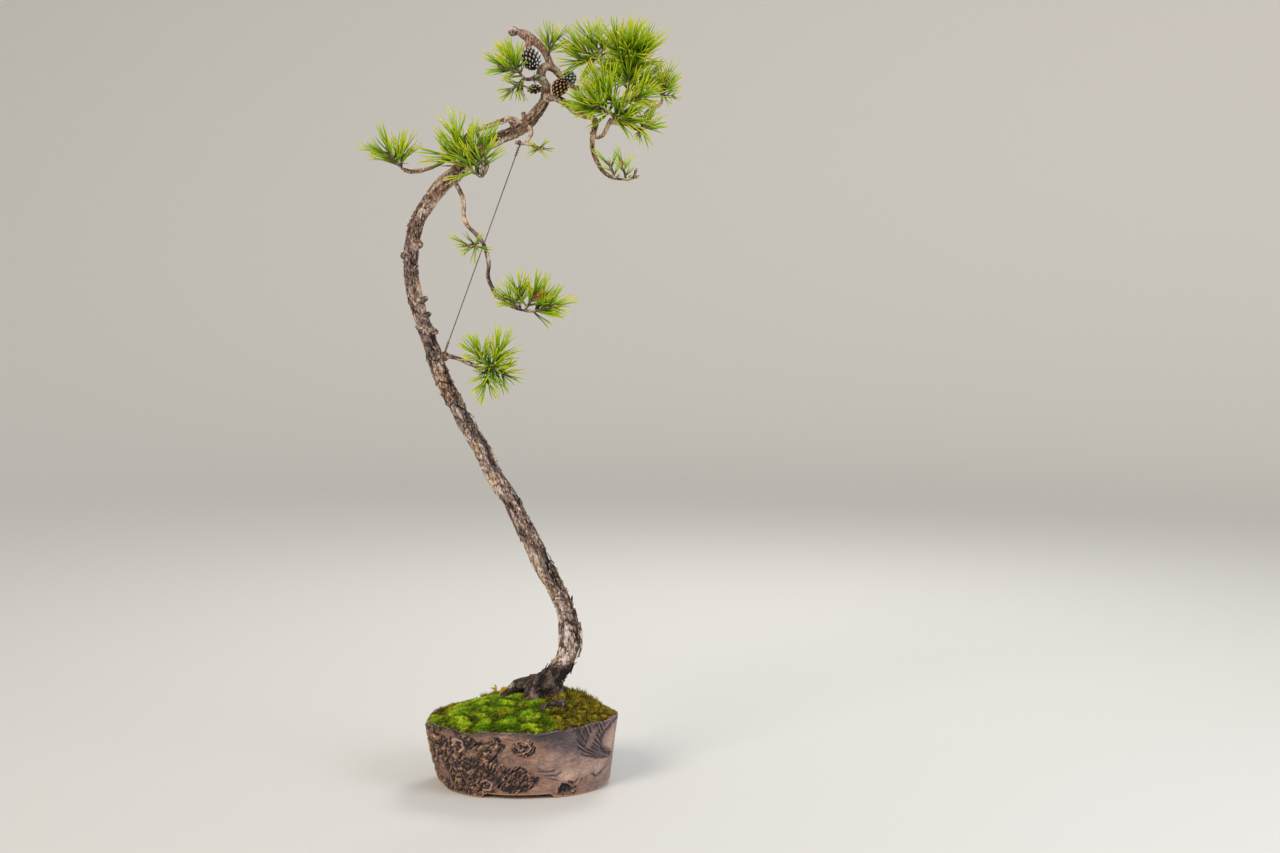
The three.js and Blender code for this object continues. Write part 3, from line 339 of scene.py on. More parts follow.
# Each branch: bark kind (0 rough, 1 twig, 2 stripped dead wood) and its route of x, y, z, radius
BRANCHES = {
    "crownLoop": (0, [[28, 1, 744, 4.6], [28, -1, 756, 4.4], [24, -3, 763, 4.7], [24, -5, 770, 4.9],
        [29, -5, 775, 4.5], [37, -2, 773, 3.9], [43, 3, 766, 3.3], [50, 9, 759, 2.9], [63, 14, 754, 2.6],
        [77, 17, 756, 2.4], [88, 16, 766, 2.2], [90, 13, 775, 2.1], [87, 11, 783, 2]]),
    "deadTop": (2, [[34, -4, 773, 3.6], [30, -4, 785, 3.8], [25, -5, 794, 4.1], [18, -6, 800.6, 4.6],
        [10, -7, 806.0, 5.4], [3, -8, 809.6, 4.9], [-0.5, -8, 810.8, 3.5], [-2.6, -8, 811.3, 4.7],
        [-5.5, -8, 811.9, 6.0], [-8.4, -8, 812.3, 5.6], [-11, -8, 812.6, 3.0]]),
    "coneStalk": (2, [[12, -7, 802, 4.4], [10.5, -9, 796, 3.4], [11.4, -11, 791.4, 2.7]]),
    "leftCrownTwig": (1, [[24, -4, 766, 2.6], [19, -8, 764, 2.4], [13, -13, 761, 2.2],
        [8, -16.5, 760, 1.9]]),
    "rightBranch": (0, [[28, 0, 744, 4.4], [39, -4, 742, 4], [48, -9, 737, 3.8], [59, -13, 728, 3.6],
        [69, -15, 723, 3.4], [79, -15, 720, 3.2], [82, -15, 714, 3.1], [80, -16, 706, 2.9],
        [78, -17, 696, 2.7], [79, -18, 685, 2.5], [83, -19, 674, 2.3], [89, -20, 664, 2.2],
        [98, -21, 656.5, 2.1]]),
    "loopTwig": (1, [[79, -16, 704, 2.4], [83, -17, 699, 2.3], [89, -18, 701, 2.2], [93, -18, 707, 2.2],
        [96, -17, 713, 2.3], [99, -15, 718, 2.5]]),
    "undersideTwig": (1, [[98, -15, 716, 2.2], [107, -17, 714, 2.1], [115, -19, 713, 2],
        [121, -21, 709, 1.9], [126, -22, 707, 1.8]]),
    "farRightTwig": (1, [[115, -19, 713, 2], [124, -14, 716, 1.9], [133, -8, 719, 1.8],
        [136, -3, 727, 1.8], [144, 2, 733, 1.7], [151, 5, 736, 1.7], [153, 6, 742, 1.6]]),
    "leftArch": (0, [[6, 1, 712, 3], [0, -1, 716, 2.9], [-6, -4, 719, 2.8], [-13, -8, 719, 2.7],
        [-23, -12, 715, 2.6], [-33, -14, 711, 2.5], [-45, -14, 707, 2.4], [-58, -14, 699, 2.3],
        [-69, -14, 688, 2.3], [-78, -15, 676, 2.2], [-89, -16, 669, 2.1], [-101, -17, 665, 2.1],
        [-114, -18, 663, 2.3], [-122, -19, 665, 2.1]]),
    "frontForkBranch": (1, [[-45, -5, 684, 2.8], [-37, -16, 678, 2.6], [-33, -25, 669, 2.4],
        [-36, -30, 660, 2.3]]),
    "wireTwig": (1, [[10, 1, 714, 2.2], [13, -4, 705, 2], [10, -6, 699, 1.8], [7, -8, 694, 1.7]]),
    "crossTwig": (1, [[-4, -7, 694.5, 1.5], [3, -8, 693.5, 1.7], [8, -9, 693, 1.7], [14, -10, 691.5, 1.6],
        [20, -12, 689, 1.5]]),
    "hanging": (1, [[-72, -4, 660, 3], [-68, -9, 651, 2.7], [-64, -12, 644, 2.5], [-60, -15, 634, 2.4],
        [-59, -17, 623, 2.3], [-58, -19, 613, 2.3], [-53, -21, 604, 2.2], [-46, -22, 597, 2.2],
        [-38, -23, 587, 2.2], [-34, -23, 576, 2.1], [-32, -22, 564, 2.1], [-33, -21, 552, 2],
        [-29, -20, 540, 2], [-24, -20, 531, 1.9], [-16, -21, 526, 1.9], [-9, -22, 521, 1.8],
        [-4, -23, 518, 1.8]]),
    "lowBranch": (1, [[-94, 4, 463, 3], [-82, 0, 466, 2.6], [-69, -6, 464, 2.4], [-55, -12, 459, 2.2],
        [-42, -18, 454, 2], [-35, -23, 453, 1.9]]),
    "stubUnderTop": (2, [[-2, 0, 706, 3.4], [-8, -3, 714, 2.4], [-10, -4, 718, 2.2]]),
    "stubAtLoop": (2, [[8, 2, 716, 3.4], [5, -4, 722, 2.5], [4, -5, 727, 2.2]]),
    "stubLow": (0, [[-112, 8, 525, 5], [-106, 4, 527, 4.2], [-102, 1, 528, 3.2]]),
    "deadSpur": (2, [[-41, -8, 688, 2.2], [-42, -16, 696, 1.6], [-44, -20, 704, 1.2]]),
}
PEELING_STRIPS = [
    [[45, -3, 178, 1.0], [42.8, -4, 168, 1.6], [41.6, -4, 158, 1.4], [41.5, -3, 148, 1.7], [39, -3, 139, 1.3],
     [35, -3, 131, 1.0]],
    [[44, 4, 186, 1.0], [41.6, 3, 176, 1.5], [40.6, 2, 164, 1.2], [41, 1, 154, 1.0]],
    [[36, -10, 128, 1.2], [30, -12, 121, 1.7], [24, -13, 116, 1.3]],
    [[63, -4, 176, 0.9], [65, -5, 164, 1.3], [64.5, -5, 150, 1.1], [62, -6, 138, 0.9]],
]
# Knots and cut spurs on the trunk: middle, the way they point, and radius
KNOTS = [
    ([-120, 6, 574], [-1, -0.2, 0.1], 3.6), ([-114, 3, 587], [1, -0.5, -0.1], 4.4),
    ([-98, 5, 494], [0.9, -0.5, -0.2], 3.4), ([-104, 6, 510], [0.7, -0.7, 0.2], 2.6),
    ([-113, 4, 604], [-0.9, -0.3, 0.4], 3.0), ([-94, -2, 640], [0.8, -0.4, -0.6], 2.8),
    ([-46, -8, 372], [-0.8, -0.6, 0.2], 2.6), ([-18, -10, 320], [0.9, -0.4, 0.3], 2.8),
    ([22, -1, 242], [-0.9, -0.4, 0.1], 2.8), ([44, 0, 200], [-0.7, -0.7, 0.1], 2.6),
    ([-60, -2, 396], [0.6, 0.8, 0.2], 3.0), ([36, 8, 215], [0.3, 1, 0.2], 3.2),
]
# A knot's rows: how far out it stands, and the share of its radius
KNOT_SHAPE = ((0, 1.7), (5.5, 1.25), (8.0, 0.95), (9.6, 0.6))
# Skinned spots on roots, stub and knob, and painted highlights among them: middle x, z, half sizes, how pale.
# The small white spot at x 26, z 128 is a painted highlight, and the spot on the stub's top at x 40 is partly
# bare wood and partly painted highlight
SKINNED_AND_LIT = [(24, 108, 5, 6, 0.06), (12, 101, 8, 5, 0.22), (26, 128, 3, 1.6, 0.7), (-12, 106, 3.5, 3.5, 0.8),
           (40, 97, 13, 5, 0.34)]


def wood_tube(route, kind, sides, step, relief, rng):
    """One limb: its points, its faces, and for each point how high on its bark plate it lies (0 to 1),
    the tint of the plate and its kind of bark."""
    path, along = smooth_path(route, step)
    tangents, normals, binormals = frames_along(path)
    radius = path[:, 3:4]
    mean = float(np.mean(radius))
    girth = 2 * math.pi * mean
    turn, length = np.meshgrid(np.linspace(0, 2 * math.pi, sides, endpoint=False), along)
    # Plates of bark are about 7 by 14 mm on the trunk and a little smaller on the branches
    wide, tall = (7, 14) if kind == 0 and girth > 38 else (5.5, 13)
    around = max(3, int(round(girth / wide)))
    sway = 0.4 * np.sin(length * 0.075 + 2 * turn) + 0.25 * np.sin(length * 0.31 + 3 * turn)
    across = turn / (2 * math.pi) * around + sway
    skin = np.stack([np.cos(turn) * mean, np.sin(turn) * mean, length * 0.42], -1)
    fine = noise(skin, 2.4, rng)
    inside, tint, _, _ = cells(across + 0.16 * fine, length / tall + 0.3 * np.sin(turn * 2) + 0.12 * fine,
                               around, rng)
    # Bark lies in thin torn layers, each a step over the next, with cracks between some plates
    layers = 2.3 * noise(skin, min(11, 1.4 * mean), rng, 4) + 0.25 * fine
    level = np.floor(layers)
    torn = level + smooth(layers - level, 0.0, 0.3)
    crack = (1 - smooth(inside, 0.0, 0.17)) * smooth(noise(skin, 14, rng), -0.2, 0.5)
    height = 0.3 * torn + 0.2 * fine - 0.75 * crack
    plate = 1 - crack
    if kind == 2:
        height = 0.35 * np.sin(turn * 5 + 0.4 * np.sin(length * 0.2)) + 0.25 * fine
        plate = 0.5 + 0.5 * np.sin(turn * 5)
    swell = 1 + 0.05 * np.sin(length * 0.11 + turn) + 0.035 * np.sin(length * 0.23 - 2 * turn)
    reach = (radius * swell + relief * height)[..., None]
    skin_points = path[:, None, :3] + reach * (np.cos(turn)[..., None] * normals[:, None]
                                               + np.sin(turn)[..., None] * binormals[:, None])
    ends = [path[0, :3] - tangents[0] * radius[0] * 0.3, path[-1, :3] + tangents[-1] * radius[-1] * 0.25]
    points = np.vstack([skin_points.reshape(-1, 3), ends])
    crest = np.clip((0.5 + 0.17 * torn + 0.22 * fine) * (0.25 + 0.75 * plate), 0, 1)
    shade = np.clip(0.5 + 0.35 * noise(skin, 9, rng) + 0.3 * (tint - 0.5), 0, 1)
    return points, tube_faces(len(path), sides), {
        "crest": np.r_[crest.ravel(), 0.6, 0.8], "tint": np.r_[shade.ravel(), 0.5, 0.9],
        "kind": np.full(len(points), float(kind))}


def pine_bark(wood):
    """Weathered pitch pine bark: grown in thick plates that flake off and leave dark cracks, so it is
    dry and quite rough, with warm brown scales, grey-mauve plates and near-black cracks."""
    material, add, place, shader = new_material("weathered_pine_bark")
    crest, tint, kind, bare = (add("ShaderNodeAttribute", attribute_name=key).outputs["Fac"]
                               for key in ("crest", "tint", "kind", "pale"))
    # Fibres and torn edges of about 1.5 by 4 mm, and broad weathering of about 25 mm
    grain = add("ShaderNodeMapping", {"Vector": place, "Scale": (1.0, 1.0, 0.4)})
    fibre = add("ShaderNodeTexNoise", {"Vector": grain, "Scale": 620.0, "Detail": 4.0, "Roughness": 0.7})
    broad = add("ShaderNodeTexNoise", {"Vector": place, "Scale": 40.0, "Detail": 3.0, "Roughness": 0.6})
    lift = add("ShaderNodeMath", [fibre, 1.9, -0.95], operation="MULTIPLY_ADD")
    level = add("ShaderNodeMath", [crest, lift], operation="ADD", use_clamp=True)
    body, warm, torn = (add("ShaderNodeValToRGB", [level], stops) for stops in (
        [(0.1, "#130d0c"), (0.3, "#3b2e2a"), (0.54, wood.bark_colour), (0.76, "#9c887e"), (1.0, "#dccfc3")],
        [(0.1, "#150d09"), (0.32, "#473325"), (0.56, "#7c5c42"), (0.78, "#aa8560"), (1.0, "#d8bb94")],
        [(0.1, "#2c211d"), (0.3, "#776259"), (0.5, "#b29c92"), (0.95, "#e6dbd3")]))
    mixing = add("ShaderNodeMath", [tint, broad], operation="MULTIPLY", use_clamp=True)
    share = add("ShaderNodeMapRange", [mixing, 0.15, 0.45, 0.05, 0.75])
    bark = add("ShaderNodeMix", {"Factor": share, 6: body, 7: warm}, data_type="RGBA")
    # The base of the trunk is darker, up to an uneven line
    height = add("ShaderNodeSeparateXYZ", [place]).outputs["Z"]
    line = add("ShaderNodeMath", [broad, 0.03, height], operation="MULTIPLY_ADD")
    base = add("ShaderNodeMapRange", [line, 0.138, 0.152, 0.6, 0.0], interpolation_type="SMOOTHSTEP")
    dark = add("ShaderNodeMix", {"Factor": base, 6: bark, 7: "#241c1a"}, data_type="RGBA")
    # Pale bare bark, with the painted highlights of two of the pale spots low on the trunk
    pale = add("ShaderNodeMix", {"Factor": bare, 6: dark, 7: torn}, data_type="RGBA")
    # Stripped dead wood: reddish peeling skin over silver grey
    stripped = add("ShaderNodeMapRange", [kind, 1.2, 1.8])
    dead = add("ShaderNodeValToRGB", [fibre], [
        (0.3, "#42302f"), (0.42, "#7c5245"), (0.53, "#a67c69"), (0.66, "#c6b8ae")])
    colour = add("ShaderNodeMix", {"Factor": stripped, 6: pale, 7: dead}, data_type="RGBA")
    both = add("ShaderNodeMath", [crest, 0.6, fibre], operation="MULTIPLY_ADD")
    bump = add("ShaderNodeBump", {"Height": both, "Strength": 0.6, "Distance": 0.0012})
    plug(shader, {"Base Color": colour, "Roughness": 0.82, "Specular IOR Level": 0.35, "Normal": bump})
    return material


class BonsaiWood(PropertyGroup):
    bark_colour: FloatVectorProperty(name="Bark", description="Middle colour of the old bark plates",
                                     default=linear("#705e57")[:3], **COLOUR)
    relief: FloatProperty(name="Bark relief", description="Height of the trunk's bark plates over their cracks",
                          default=1.9 * MM, min=0, max=4 * MM, **LENGTH)


class BONSAI_OT_tree(Operator):
    """Build the trunk with its roots, branches, twigs, knots and loose bark"""
    bl_idname = "bonsai.tree"
    bl_label = "Trunk and branches"

    def execute(self, context):
        wood = context.scene.bonsai_wood
        rng = np.random.default_rng(11)
        relief = wood.relief / MM
        limbs = [(TRUNK, 0, 76, 1.1, relief)]
        limbs += [(strip, 0, 12, 1.2, 0.7) for strip in PEELING_STRIPS]
        limbs += [(route, 0, 30, 1.4, relief * 0.8) for route in ROOTS]
        for kind, route in BRANCHES.values():
            x, y, z, radius = route[0]
            limbs.append(([[x, y, z, radius * 1.3], *route[1:]], kind, 18, 1.2, 0.75))
        for middle, way, radius in KNOTS:
            rows = [[*(middle + unit(way) * reach), radius * wide] for reach, wide in KNOT_SHAPE]
            limbs.append((rows, 0, 18, 0.9, 1.1))
        parts = [wood_tube(*limb, rng) for limb in limbs]
        points, faces, facts = join_parts(parts)
        # Gnarled swellings and furrows where the trunk meets its roots
        x, y, z = points.T
        low = smooth(-z, -136, -116) * smooth(z, 62, 74) * smooth(-np.abs(x - 18), -50, -36)
        low[-len(parts[-1][0]):] = 0
        curl = noise(points, 12, rng, 2)
        lump = noise(points * [1, 1, 0.75] + 3 * curl[:, None], 4.6, rng, 2)
        out = (points - [21, 1, 0]) * [1, 1, 0]
        out /= np.maximum(np.linalg.norm(out, axis=1), 1)[:, None]
        twist = np.sin(4 * np.arctan2(y - 1, x - 21) + 0.11 * z + 1.6 * curl)
        fold = smooth(-np.abs(lump), -0.2, 0)
        points = points + out * (low * (3.2 * lump + 1.6 * twist - 2.4 * fold + 0.6))[:, None]
        # Painted light on the gnarled base: lighter on its swellings as painted highlight, darker in its
        # furrows as painted shade
        shade = 0.3 + 0.46 * lump + 0.12 * twist - 0.3 * fold + 0.4 * (facts["crest"] - 0.5)
        crest = np.clip(facts["crest"] * (1 - low) + low * np.clip(shade, 0, 0.6), 0, 1)
        tint = np.clip(facts["tint"] + low * (0.5 * noise(points, 5, rng) + 0.1), 0, 1)
        # The pale torn patch on the elbow's front, with dark splits through it
        x, y, z = points.T
        front = smooth(-y, -8, 0) * smooth(z, 130, 131.4) * smooth(-z, -172.6, -171.6)
        ragged = 3.0 * noise(points, 3.2, rng)
        split = smooth(-np.abs(noise(points * [1, 1, 0.5], 5, rng)), -0.14, -0.02)
        pale = front * smooth(-(x - np.interp(z, [128, 150, 174], [50, 58, 57])) + ragged, -1, 0.3)
        pale *= smooth(x - np.interp(z, [130, 150, 174], [39, 44, 46]) + ragged, -1, 0.3) * (1 - 0.75 * split)
        crest = crest + (0.12 - 0.4 * split) * front
        pale[len(parts[0][0]):] = 0
        # Pale spots: skinned bark, and in two of them painted highlights
        for mx, mz, wide, tall, share in SKINNED_AND_LIT:
            spot = share * np.exp(-(((x - mx) / wide) ** 2 + ((z - mz) / tall) ** 2) ** 2) * smooth(-y, -6, 2)
            pale, crest = np.maximum(pale, spot), crest + 0.16 * spot
        # The knob of the dead top and its upper side are bare, and the bark is younger and warmer up there
        knob = smooth(-x, 0.4, 2) * smooth(z, 800, 806) * smooth(x, -30, -10)
        upper = smooth(z - np.interp(x, [3, 10, 18], [809.6, 806, 800.6]), 1.5, 3.5)
        upper = upper * smooth(-x, -20, -14) * smooth(z, 800, 803)
        young = smooth(z, 560, 650)
        facts = {
            "crest": np.clip(crest + 0.2 * upper + 0.15 * young, 0, 1),
            "tint": np.clip(tint + 0.35 * young, 0, 1),
            "pale": np.maximum(pale, np.maximum(0.7 * knob, 0.5 * upper)),
            "kind": np.where(np.maximum(knob, upper) > 0.5, 0.0, facts["kind"]),
        }
        settle(mesh_piece("tree_wood", points, faces, pine_bark(wood), facts), "bark", "tree")
        return {"FINISHED"}


# Pot: angles are degrees round its middle, 0 to the right and -90 to the front
POT_HEIGHT = 72
POT_TOP = {"left": 107, "right": 104.5, "deep": 84}
POT_FOOT = {"left": 89, "right": 95.5, "deep": 77}
POT_WALL = 7.5
POT_FLOOR = {"underside": 4.5, "top": 12.5, "rounding": 3}
FOOT_RING = 13
FOOT_GAP = {"front": 68, "side": 66, "slope": 5}
DRAIN_RADIUS = 12
# The torn rim over or under the pot's height: middle angle, spread in degrees, rise
RIM_SHAPE = [(180, 20, -8), (-121, 8, -4.5), (-77, 7, -3), (-45, 23, 3), (-18, 9, 4)]
# Clods pressed into the clay: middle angle, height, half width in degrees, half height, relief
CLOD_PATCHES = [(-177, 34, 77, 60, 2.3), (-91, 20, 13, 14, 2.2), (-86, 55.5, 6.5, 9.5, 2), (-57, 9, 8, 7, 1.5),
                (-103, 60, 6, 8, 1.6), (60, 30, 29, 30, 1.8)]
# Smoother places inside them, and broad washes over the calm clay: middle, half sizes, lighter or darker. The
# darker ones are stain; the light ones low on the right front are partly the clay's tone and partly painted
# sheen
BARE = [(-114, 67, 9, 4.5), (-119, 47, 4, 5), (-137, 66, 6, 5), (-150, 22, 8, 9)]
WASHES_AND_SHEEN = [(-61, 60, 14, 10, -0.34), (-77, 68, 14, 6, -0.32), (-55, 51, 7, 9, -0.16), (-92, 43, 7, 8, -0.2),
          (-76, 40, 12, 9, 0.02), (-57, 23, 8, 8, 0.36), (-41, 28, 10, 8, 0.24), (-26, 26, 11, 10, 0.2),
          (-16, 52, 12, 18, 0.26), (-98, 69, 6, 3, 0.16), (-75, 13, 12, 6, 0.08), (-40, 8, 16, 6, -0.05),
          (-69, 50, 5, 5, 0.14), (-47, 36, 6, 5, 0.12)]
LAP = {"angle": -30, "half": 29, "thick": 1.6, "edge_angle": -38, "edge_height": 40, "slope": 66}
# Strokes on the clay: points of angle and height, half width, depth (less than 0 stands out), strength
STROKES = [
    ([(-12, 28), (-20, 23.5), (-28, 18.5), (-33, 15.5)], 1.7, 1.3, 0.85),
    ([(-33, 15.5), (-37.5, 20)], 1.4, 1.0, 0.8),
    ([(-13, 31), (-21, 26.5), (-29, 21.5)], 0.8, -0.7, 0.6),
    ([(-8, 74), (-20, 71), (-29, 66), (-34, 58), (-31.5, 48), (-25, 40), (-14, 34)], 2.8, 1.4, 0.85),
    ([(-77, 30), (-71, 28.5), (-67, 30)], 1.0, 0.7, 0.7), ([(-73, 25), (-66, 24), (-62.5, 27)], 1.1, 0.7, 0.75),
    ([(-70, 21), (-64, 18)], 0.9, 0.7, 0.7), ([(-77.5, 33), (-74, 30)], 0.7, 0.6, 0.6),
    ([(-63, 6), (-60.5, 14), (-57, 11), (-59, 6)], 2.2, 1.8, 1.0),
    ([(-57, 16), (-52.5, 13), (-50, 16.5)], 1.3, 1.2, 0.8),
    ([(-56, 7), (-52, 9.5)], 1.8, 1.3, 0.85),
    ([(-61, 16), (-57.5, 14.5), (-54, 10.5), (-51, 6)], 0.8, -1.1, 0.45),
    ([(-48.5, 12), (-46.5, 17)], 0.9, 0.7, 0.6),
    ([(-86, 63.5), (-84, 61), (-82.2, 57), (-83.6, 52.5), (-86.5, 50.5)], 0.8, -1.6, 0.9),
    ([(-90.5, 57), (-88, 53), (-86.5, 55.5)], 0.7, -1.3, 0.75), ([(-89.5, 61.5), (-87.5, 58.5)], 1.4, 1.4, 0.9),
    ([(-86.5, 58.5), (-84.5, 56)], 1.0, 1.2, 0.85), ([(-84, 47), (-80, 50), (-79.5, 56)], 1.0, 1.1, 0.75),
    ([(-114, 17), (-110.5, 20), (-106.5, 16), (-108.5, 9), (-113, 9)], 1.0, -1.6, 0.8),
    ([(-111.5, 15), (-109.5, 12.5)], 1.3, 1.5, 0.9),
    ([(-132, 54), (-130, 62), (-125, 60), (-124.5, 52), (-128.5, 48)], 1.2, -1.6, 0.8),
    ([(-128.5, 58), (-127.5, 54)], 1.5, 1.5, 0.9), ([(-134, 62), (-134.5, 46), (-133, 30)], 1.7, 1.7, 0.9),
    ([(-125, 20), (-116, 35)], 0.8, 1.0, 0.85), ([(-103, 12), (-98, 21), (-93, 31)], 1.1, 1.5, 0.9),
    ([(-108, 38), (-103, 47), (-100, 56)], 1.0, 1.2, 0.8),
    ([(-120, 52), (-115, 58), (-107, 60)], 1.1, 1.3, 0.8),
    ([(-98, 66), (-92, 63.5), (-89, 65)], 0.9, 0.8, 0.5), ([(120, 66), (132, 48), (138, 30)], 1.4, 1.0, 0.9),
    ([(86, 60), (94, 44), (92, 26)], 1.2, 1.0, 0.85), ([(20, 60), (32, 46), (40, 30), (52, 24)], 1.4, 1.1, 0.9),
    ([(8, 30), (20, 20)], 1.0, 0.8, 0.8),
]
# The combed patch by the lap: its left and right edges in degrees at heights in millimetres
COMBED = {"height": [31, 36, 43, 50, 57, 76], "left": [-20, -36, -50, -53, -54, -56],
          "right": [-12, -11, -20, -31, -34, -30]}
# Half the width of the wall, for patterns that run round it, and millimetres of wall to a degree
WALL_RADIUS = 95
DEGREE = 1.62


def turn_from(angle, other):
    """How far an angle lies from another one in degrees, the short way round."""
    turn = angle - math.radians(other)
    return np.arctan2(np.sin(turn), np.cos(turn))


def pot_wall(angle, z, inset=0.0):
    """Points on the plain outer wall, moved inwards by inset."""
    rise = np.maximum(0, z) / POT_HEIGHT
    left = POT_FOOT["left"] + (POT_TOP["left"] - POT_FOOT["left"]) * rise ** 0.7
    right = POT_FOOT["right"] + (POT_TOP["right"] - POT_FOOT["right"]) * rise
    deep = POT_FOOT["deep"] + (POT_TOP["deep"] - POT_FOOT["deep"]) * rise
    turn = np.cos(angle)
    wide = left + (right - left) * (0.5 + 0.5 * np.clip(turn * 3, -1, 1))
    return np.stack([(wide - inset) * turn, (deep - inset) * np.sin(angle), z + 0 * angle], -1)


def rim_height(angle):
    """Height of the torn rim."""
    height = POT_HEIGHT + 1 + 0.8 * np.sin(9 * angle + 1)
    for middle, spread, rise in RIM_SHAPE:
        height = height + rise * np.exp(-(turn_from(angle, middle) / math.radians(spread)) ** 2)
    return height


def foot_height(points):
    """How high the pot's underside stands over the floor: 0 on the feet, more in the gaps."""
    front, side = ((FOOT_GAP[key] / 2 + FOOT_GAP["slope"] - np.abs(points[..., axis])) / FOOT_GAP["slope"]
                   for axis, key in enumerate(("front", "side")))
    return POT_FLOOR["underside"] * np.clip(np.maximum(front, side), 0, 1)


def clay_surface(angle, z, rng):
    """How far the clay stands out from the plain wall, and the shares and shades of its colours."""
    degrees = np.degrees(np.arctan2(np.sin(angle), np.cos(angle)))
    flat = np.stack([degrees * DEGREE, z], -1)

    def round_wall(slant, stretch):
        """Places on the wall for a pattern that leans, and that runs on past the back."""
        turn = angle + slant
        return np.stack([WALL_RADIUS * np.cos(turn), WALL_RADIUS * np.sin(turn), z * stretch], -1)

    def away(middle, level, wide, tall):
        """How far a place lies from the middle of a patch, where 1 is its edge."""
        return np.hypot(turn_from(angle, middle) / math.radians(wide), (z - level) / tall)

    plain = round_wall(0, 1)
    small, large = noise(plain, 2.2, rng, 3), noise(plain, 5, rng, 3)
    # Where the clods are: a mask with a torn outline
    clods, near, high = np.zeros((3, *angle.shape))
    for middle, level, wide, tall, relief in CLOD_PATCHES:
        far = away(middle, level, wide, tall)
        mask = smooth(-(far + (0.22 * large + 0.1 * small) * min(1, 22 / wide)), -1.1, -0.93)
        clods, high = np.maximum(clods, mask), np.maximum(high, mask * relief)
        near = np.maximum(near, smooth(-far, -1.0 - 14 / wide, -0.9))
    for spot in BARE:
        bare = smooth(-(away(*spot) + 0.4 * large), -1.2, -0.7)
        clods, high = clods * (1 - 0.75 * bare), high * (1 - 0.6 * bare)
    # Torn shards in two sizes that lean to the right, each tipped its own way, with cracks between
    shard = np.zeros(angle.shape)
    for wide, tall, share in ((6.5, 10.0, 0.45), (3.3, 5.6, 0.55)):
        around = int(round(2 * math.pi * WALL_RADIUS / wide))
        across = angle / (2 * math.pi) * around - 0.55 * z / wide + 0.45 * large + 0.2 * small
        along = z / tall + 0.4 * noise(plain, 6, rng) + 0.15 * small
        inside, own, aside, above = cells(across, along, around, rng)
        tip = aside * np.cos(own * 40) + above * np.abs(np.sin(own * 40))
        shard += share * (0.42 + 0.5 * (own - 0.5) + 0.75 * tip - 0.55 * (1 - smooth(inside, 0.0, 0.2)))
    shard = np.clip(shard + 0.08 * small, 0, 1)
    out = high * (2.0 * shard - 0.75)
    # The calm clay is only a little uneven, from the potter's hand, and one slab laps over it
    out = out + (1 - clods) * (0.3 * noise(plain, 24, rng) + 0.1 * large)
    over_edge = z - LAP["edge_height"] - turn_from(angle, LAP["edge_angle"]) * LAP["slope"]
    within = math.radians(LAP["half"]) - np.abs(turn_from(angle, LAP["angle"]))
    out = out + LAP["thick"] * smooth(over_edge, 0, 3.5) * smooth(within, 0, 0.15)
    # The combed patch: ridges that fall steeply and turn to the right at its foot, furrows between them
    left, right = (np.interp(z, COMBED["height"], COMBED[side]) for side in ("left", "right"))
    combed = smooth(degrees - left + 2 * large, -1, 2) * smooth(right - degrees + large, -1, 2)
    combed = combed * smooth(z, 30, 34)
    swept = round_wall(0.5 * z / WALL_RADIUS - 0.3 * np.exp(-(z - 40) / 9), 0.1)
    furrow = noise(swept + 0.5 * large[..., None], 1.3, rng, 2) + 0.2 * small
    wedge = smooth(-np.abs(degrees + 40.5 + 0.28 * (66 - z)) / 2.6, -1.2, -0.8)
    wedge = wedge * smooth(z, 49, 53) * smooth(-z, -73, -70)
    combed = combed * (1 - 0.9 * wedge)
    out = out + combed * (0.9 * furrow + 0.1)
    stain = combed * (0.34 + 0.66 * smooth(-furrow, -0.35, 0.25))
    crest = combed * 0.6 * smooth(furrow, 0.15, 0.6)
    jitter = 0.35 * large + 0.35 * small
    for way, half, deep, strength in STROKES:
        gap = np.full(angle.shape, 1e3)
        way = np.array(way) * [DEGREE, 1]
        for start, reach in zip(way, np.diff(way, axis=0)):
            t = np.clip(((flat - start) @ reach) / (reach @ reach), 0, 1)
            gap = np.minimum(gap, np.linalg.norm(flat - start - t[..., None] * reach, axis=-1))
        gap = gap / half
        depth = smooth(-(gap + jitter), -1.25, -0.45)
        out = out - deep * depth
        if deep > 0:
            out = out + 0.4 * deep * smooth(-np.abs(gap - 1.9), -0.8, 0)
            crest = np.maximum(crest, 0.5 * strength * smooth(-np.abs(gap - 1.8), -0.6, 0) * (1 - depth))
            stain = np.maximum(stain, strength * depth)
        else:
            crest, stain = np.maximum(crest, strength * depth), stain * (1 - depth)
            clods = clods * (1 - 0.8 * depth)
            stain = np.maximum(stain, 0.55 * smooth(-np.abs(gap - 2.0), -0.7, 0) * (1 - depth))
    # Dark crinkles under the torn rim, deeper at the right, and its own edge rubbed light
    under = rim_height(angle) - z
    reach = 6 + 8 * smooth(degrees, -92, -60) * smooth(-degrees, 20, 45) + 3 * large
    burn = smooth(-under / np.maximum(reach, 1), -1, -0.15)
    crinkle = noise(plain * [1, 1, 1.6], 1.6, rng, 3)
    out = out + burn * 0.55 * crinkle
    stain = np.maximum(stain, burn * (0.3 + 0.45 * smooth(-crinkle, -0.1, 0.5)))
    crest = np.maximum(crest, 0.55 * smooth(-under, -1.6, -0.3) * smooth(crinkle, -0.5, 0.3))
    tone = 0.5 + 0.1 * noise(plain, 14, rng, 4) + 0.07 * noise(plain, 4, rng) - 0.16 * burn
    # Washes of stain and tone, with painted sheen low on the right front
    for middle, level, wide, tall, shift in WASHES_AND_SHEEN:
        tone = tone + shift * np.exp(-away(middle, level, wide, tall) ** 2)
    return out, [np.clip(layer, 0, 1) for layer in (stain, crest, clods, shard, tone, near)]


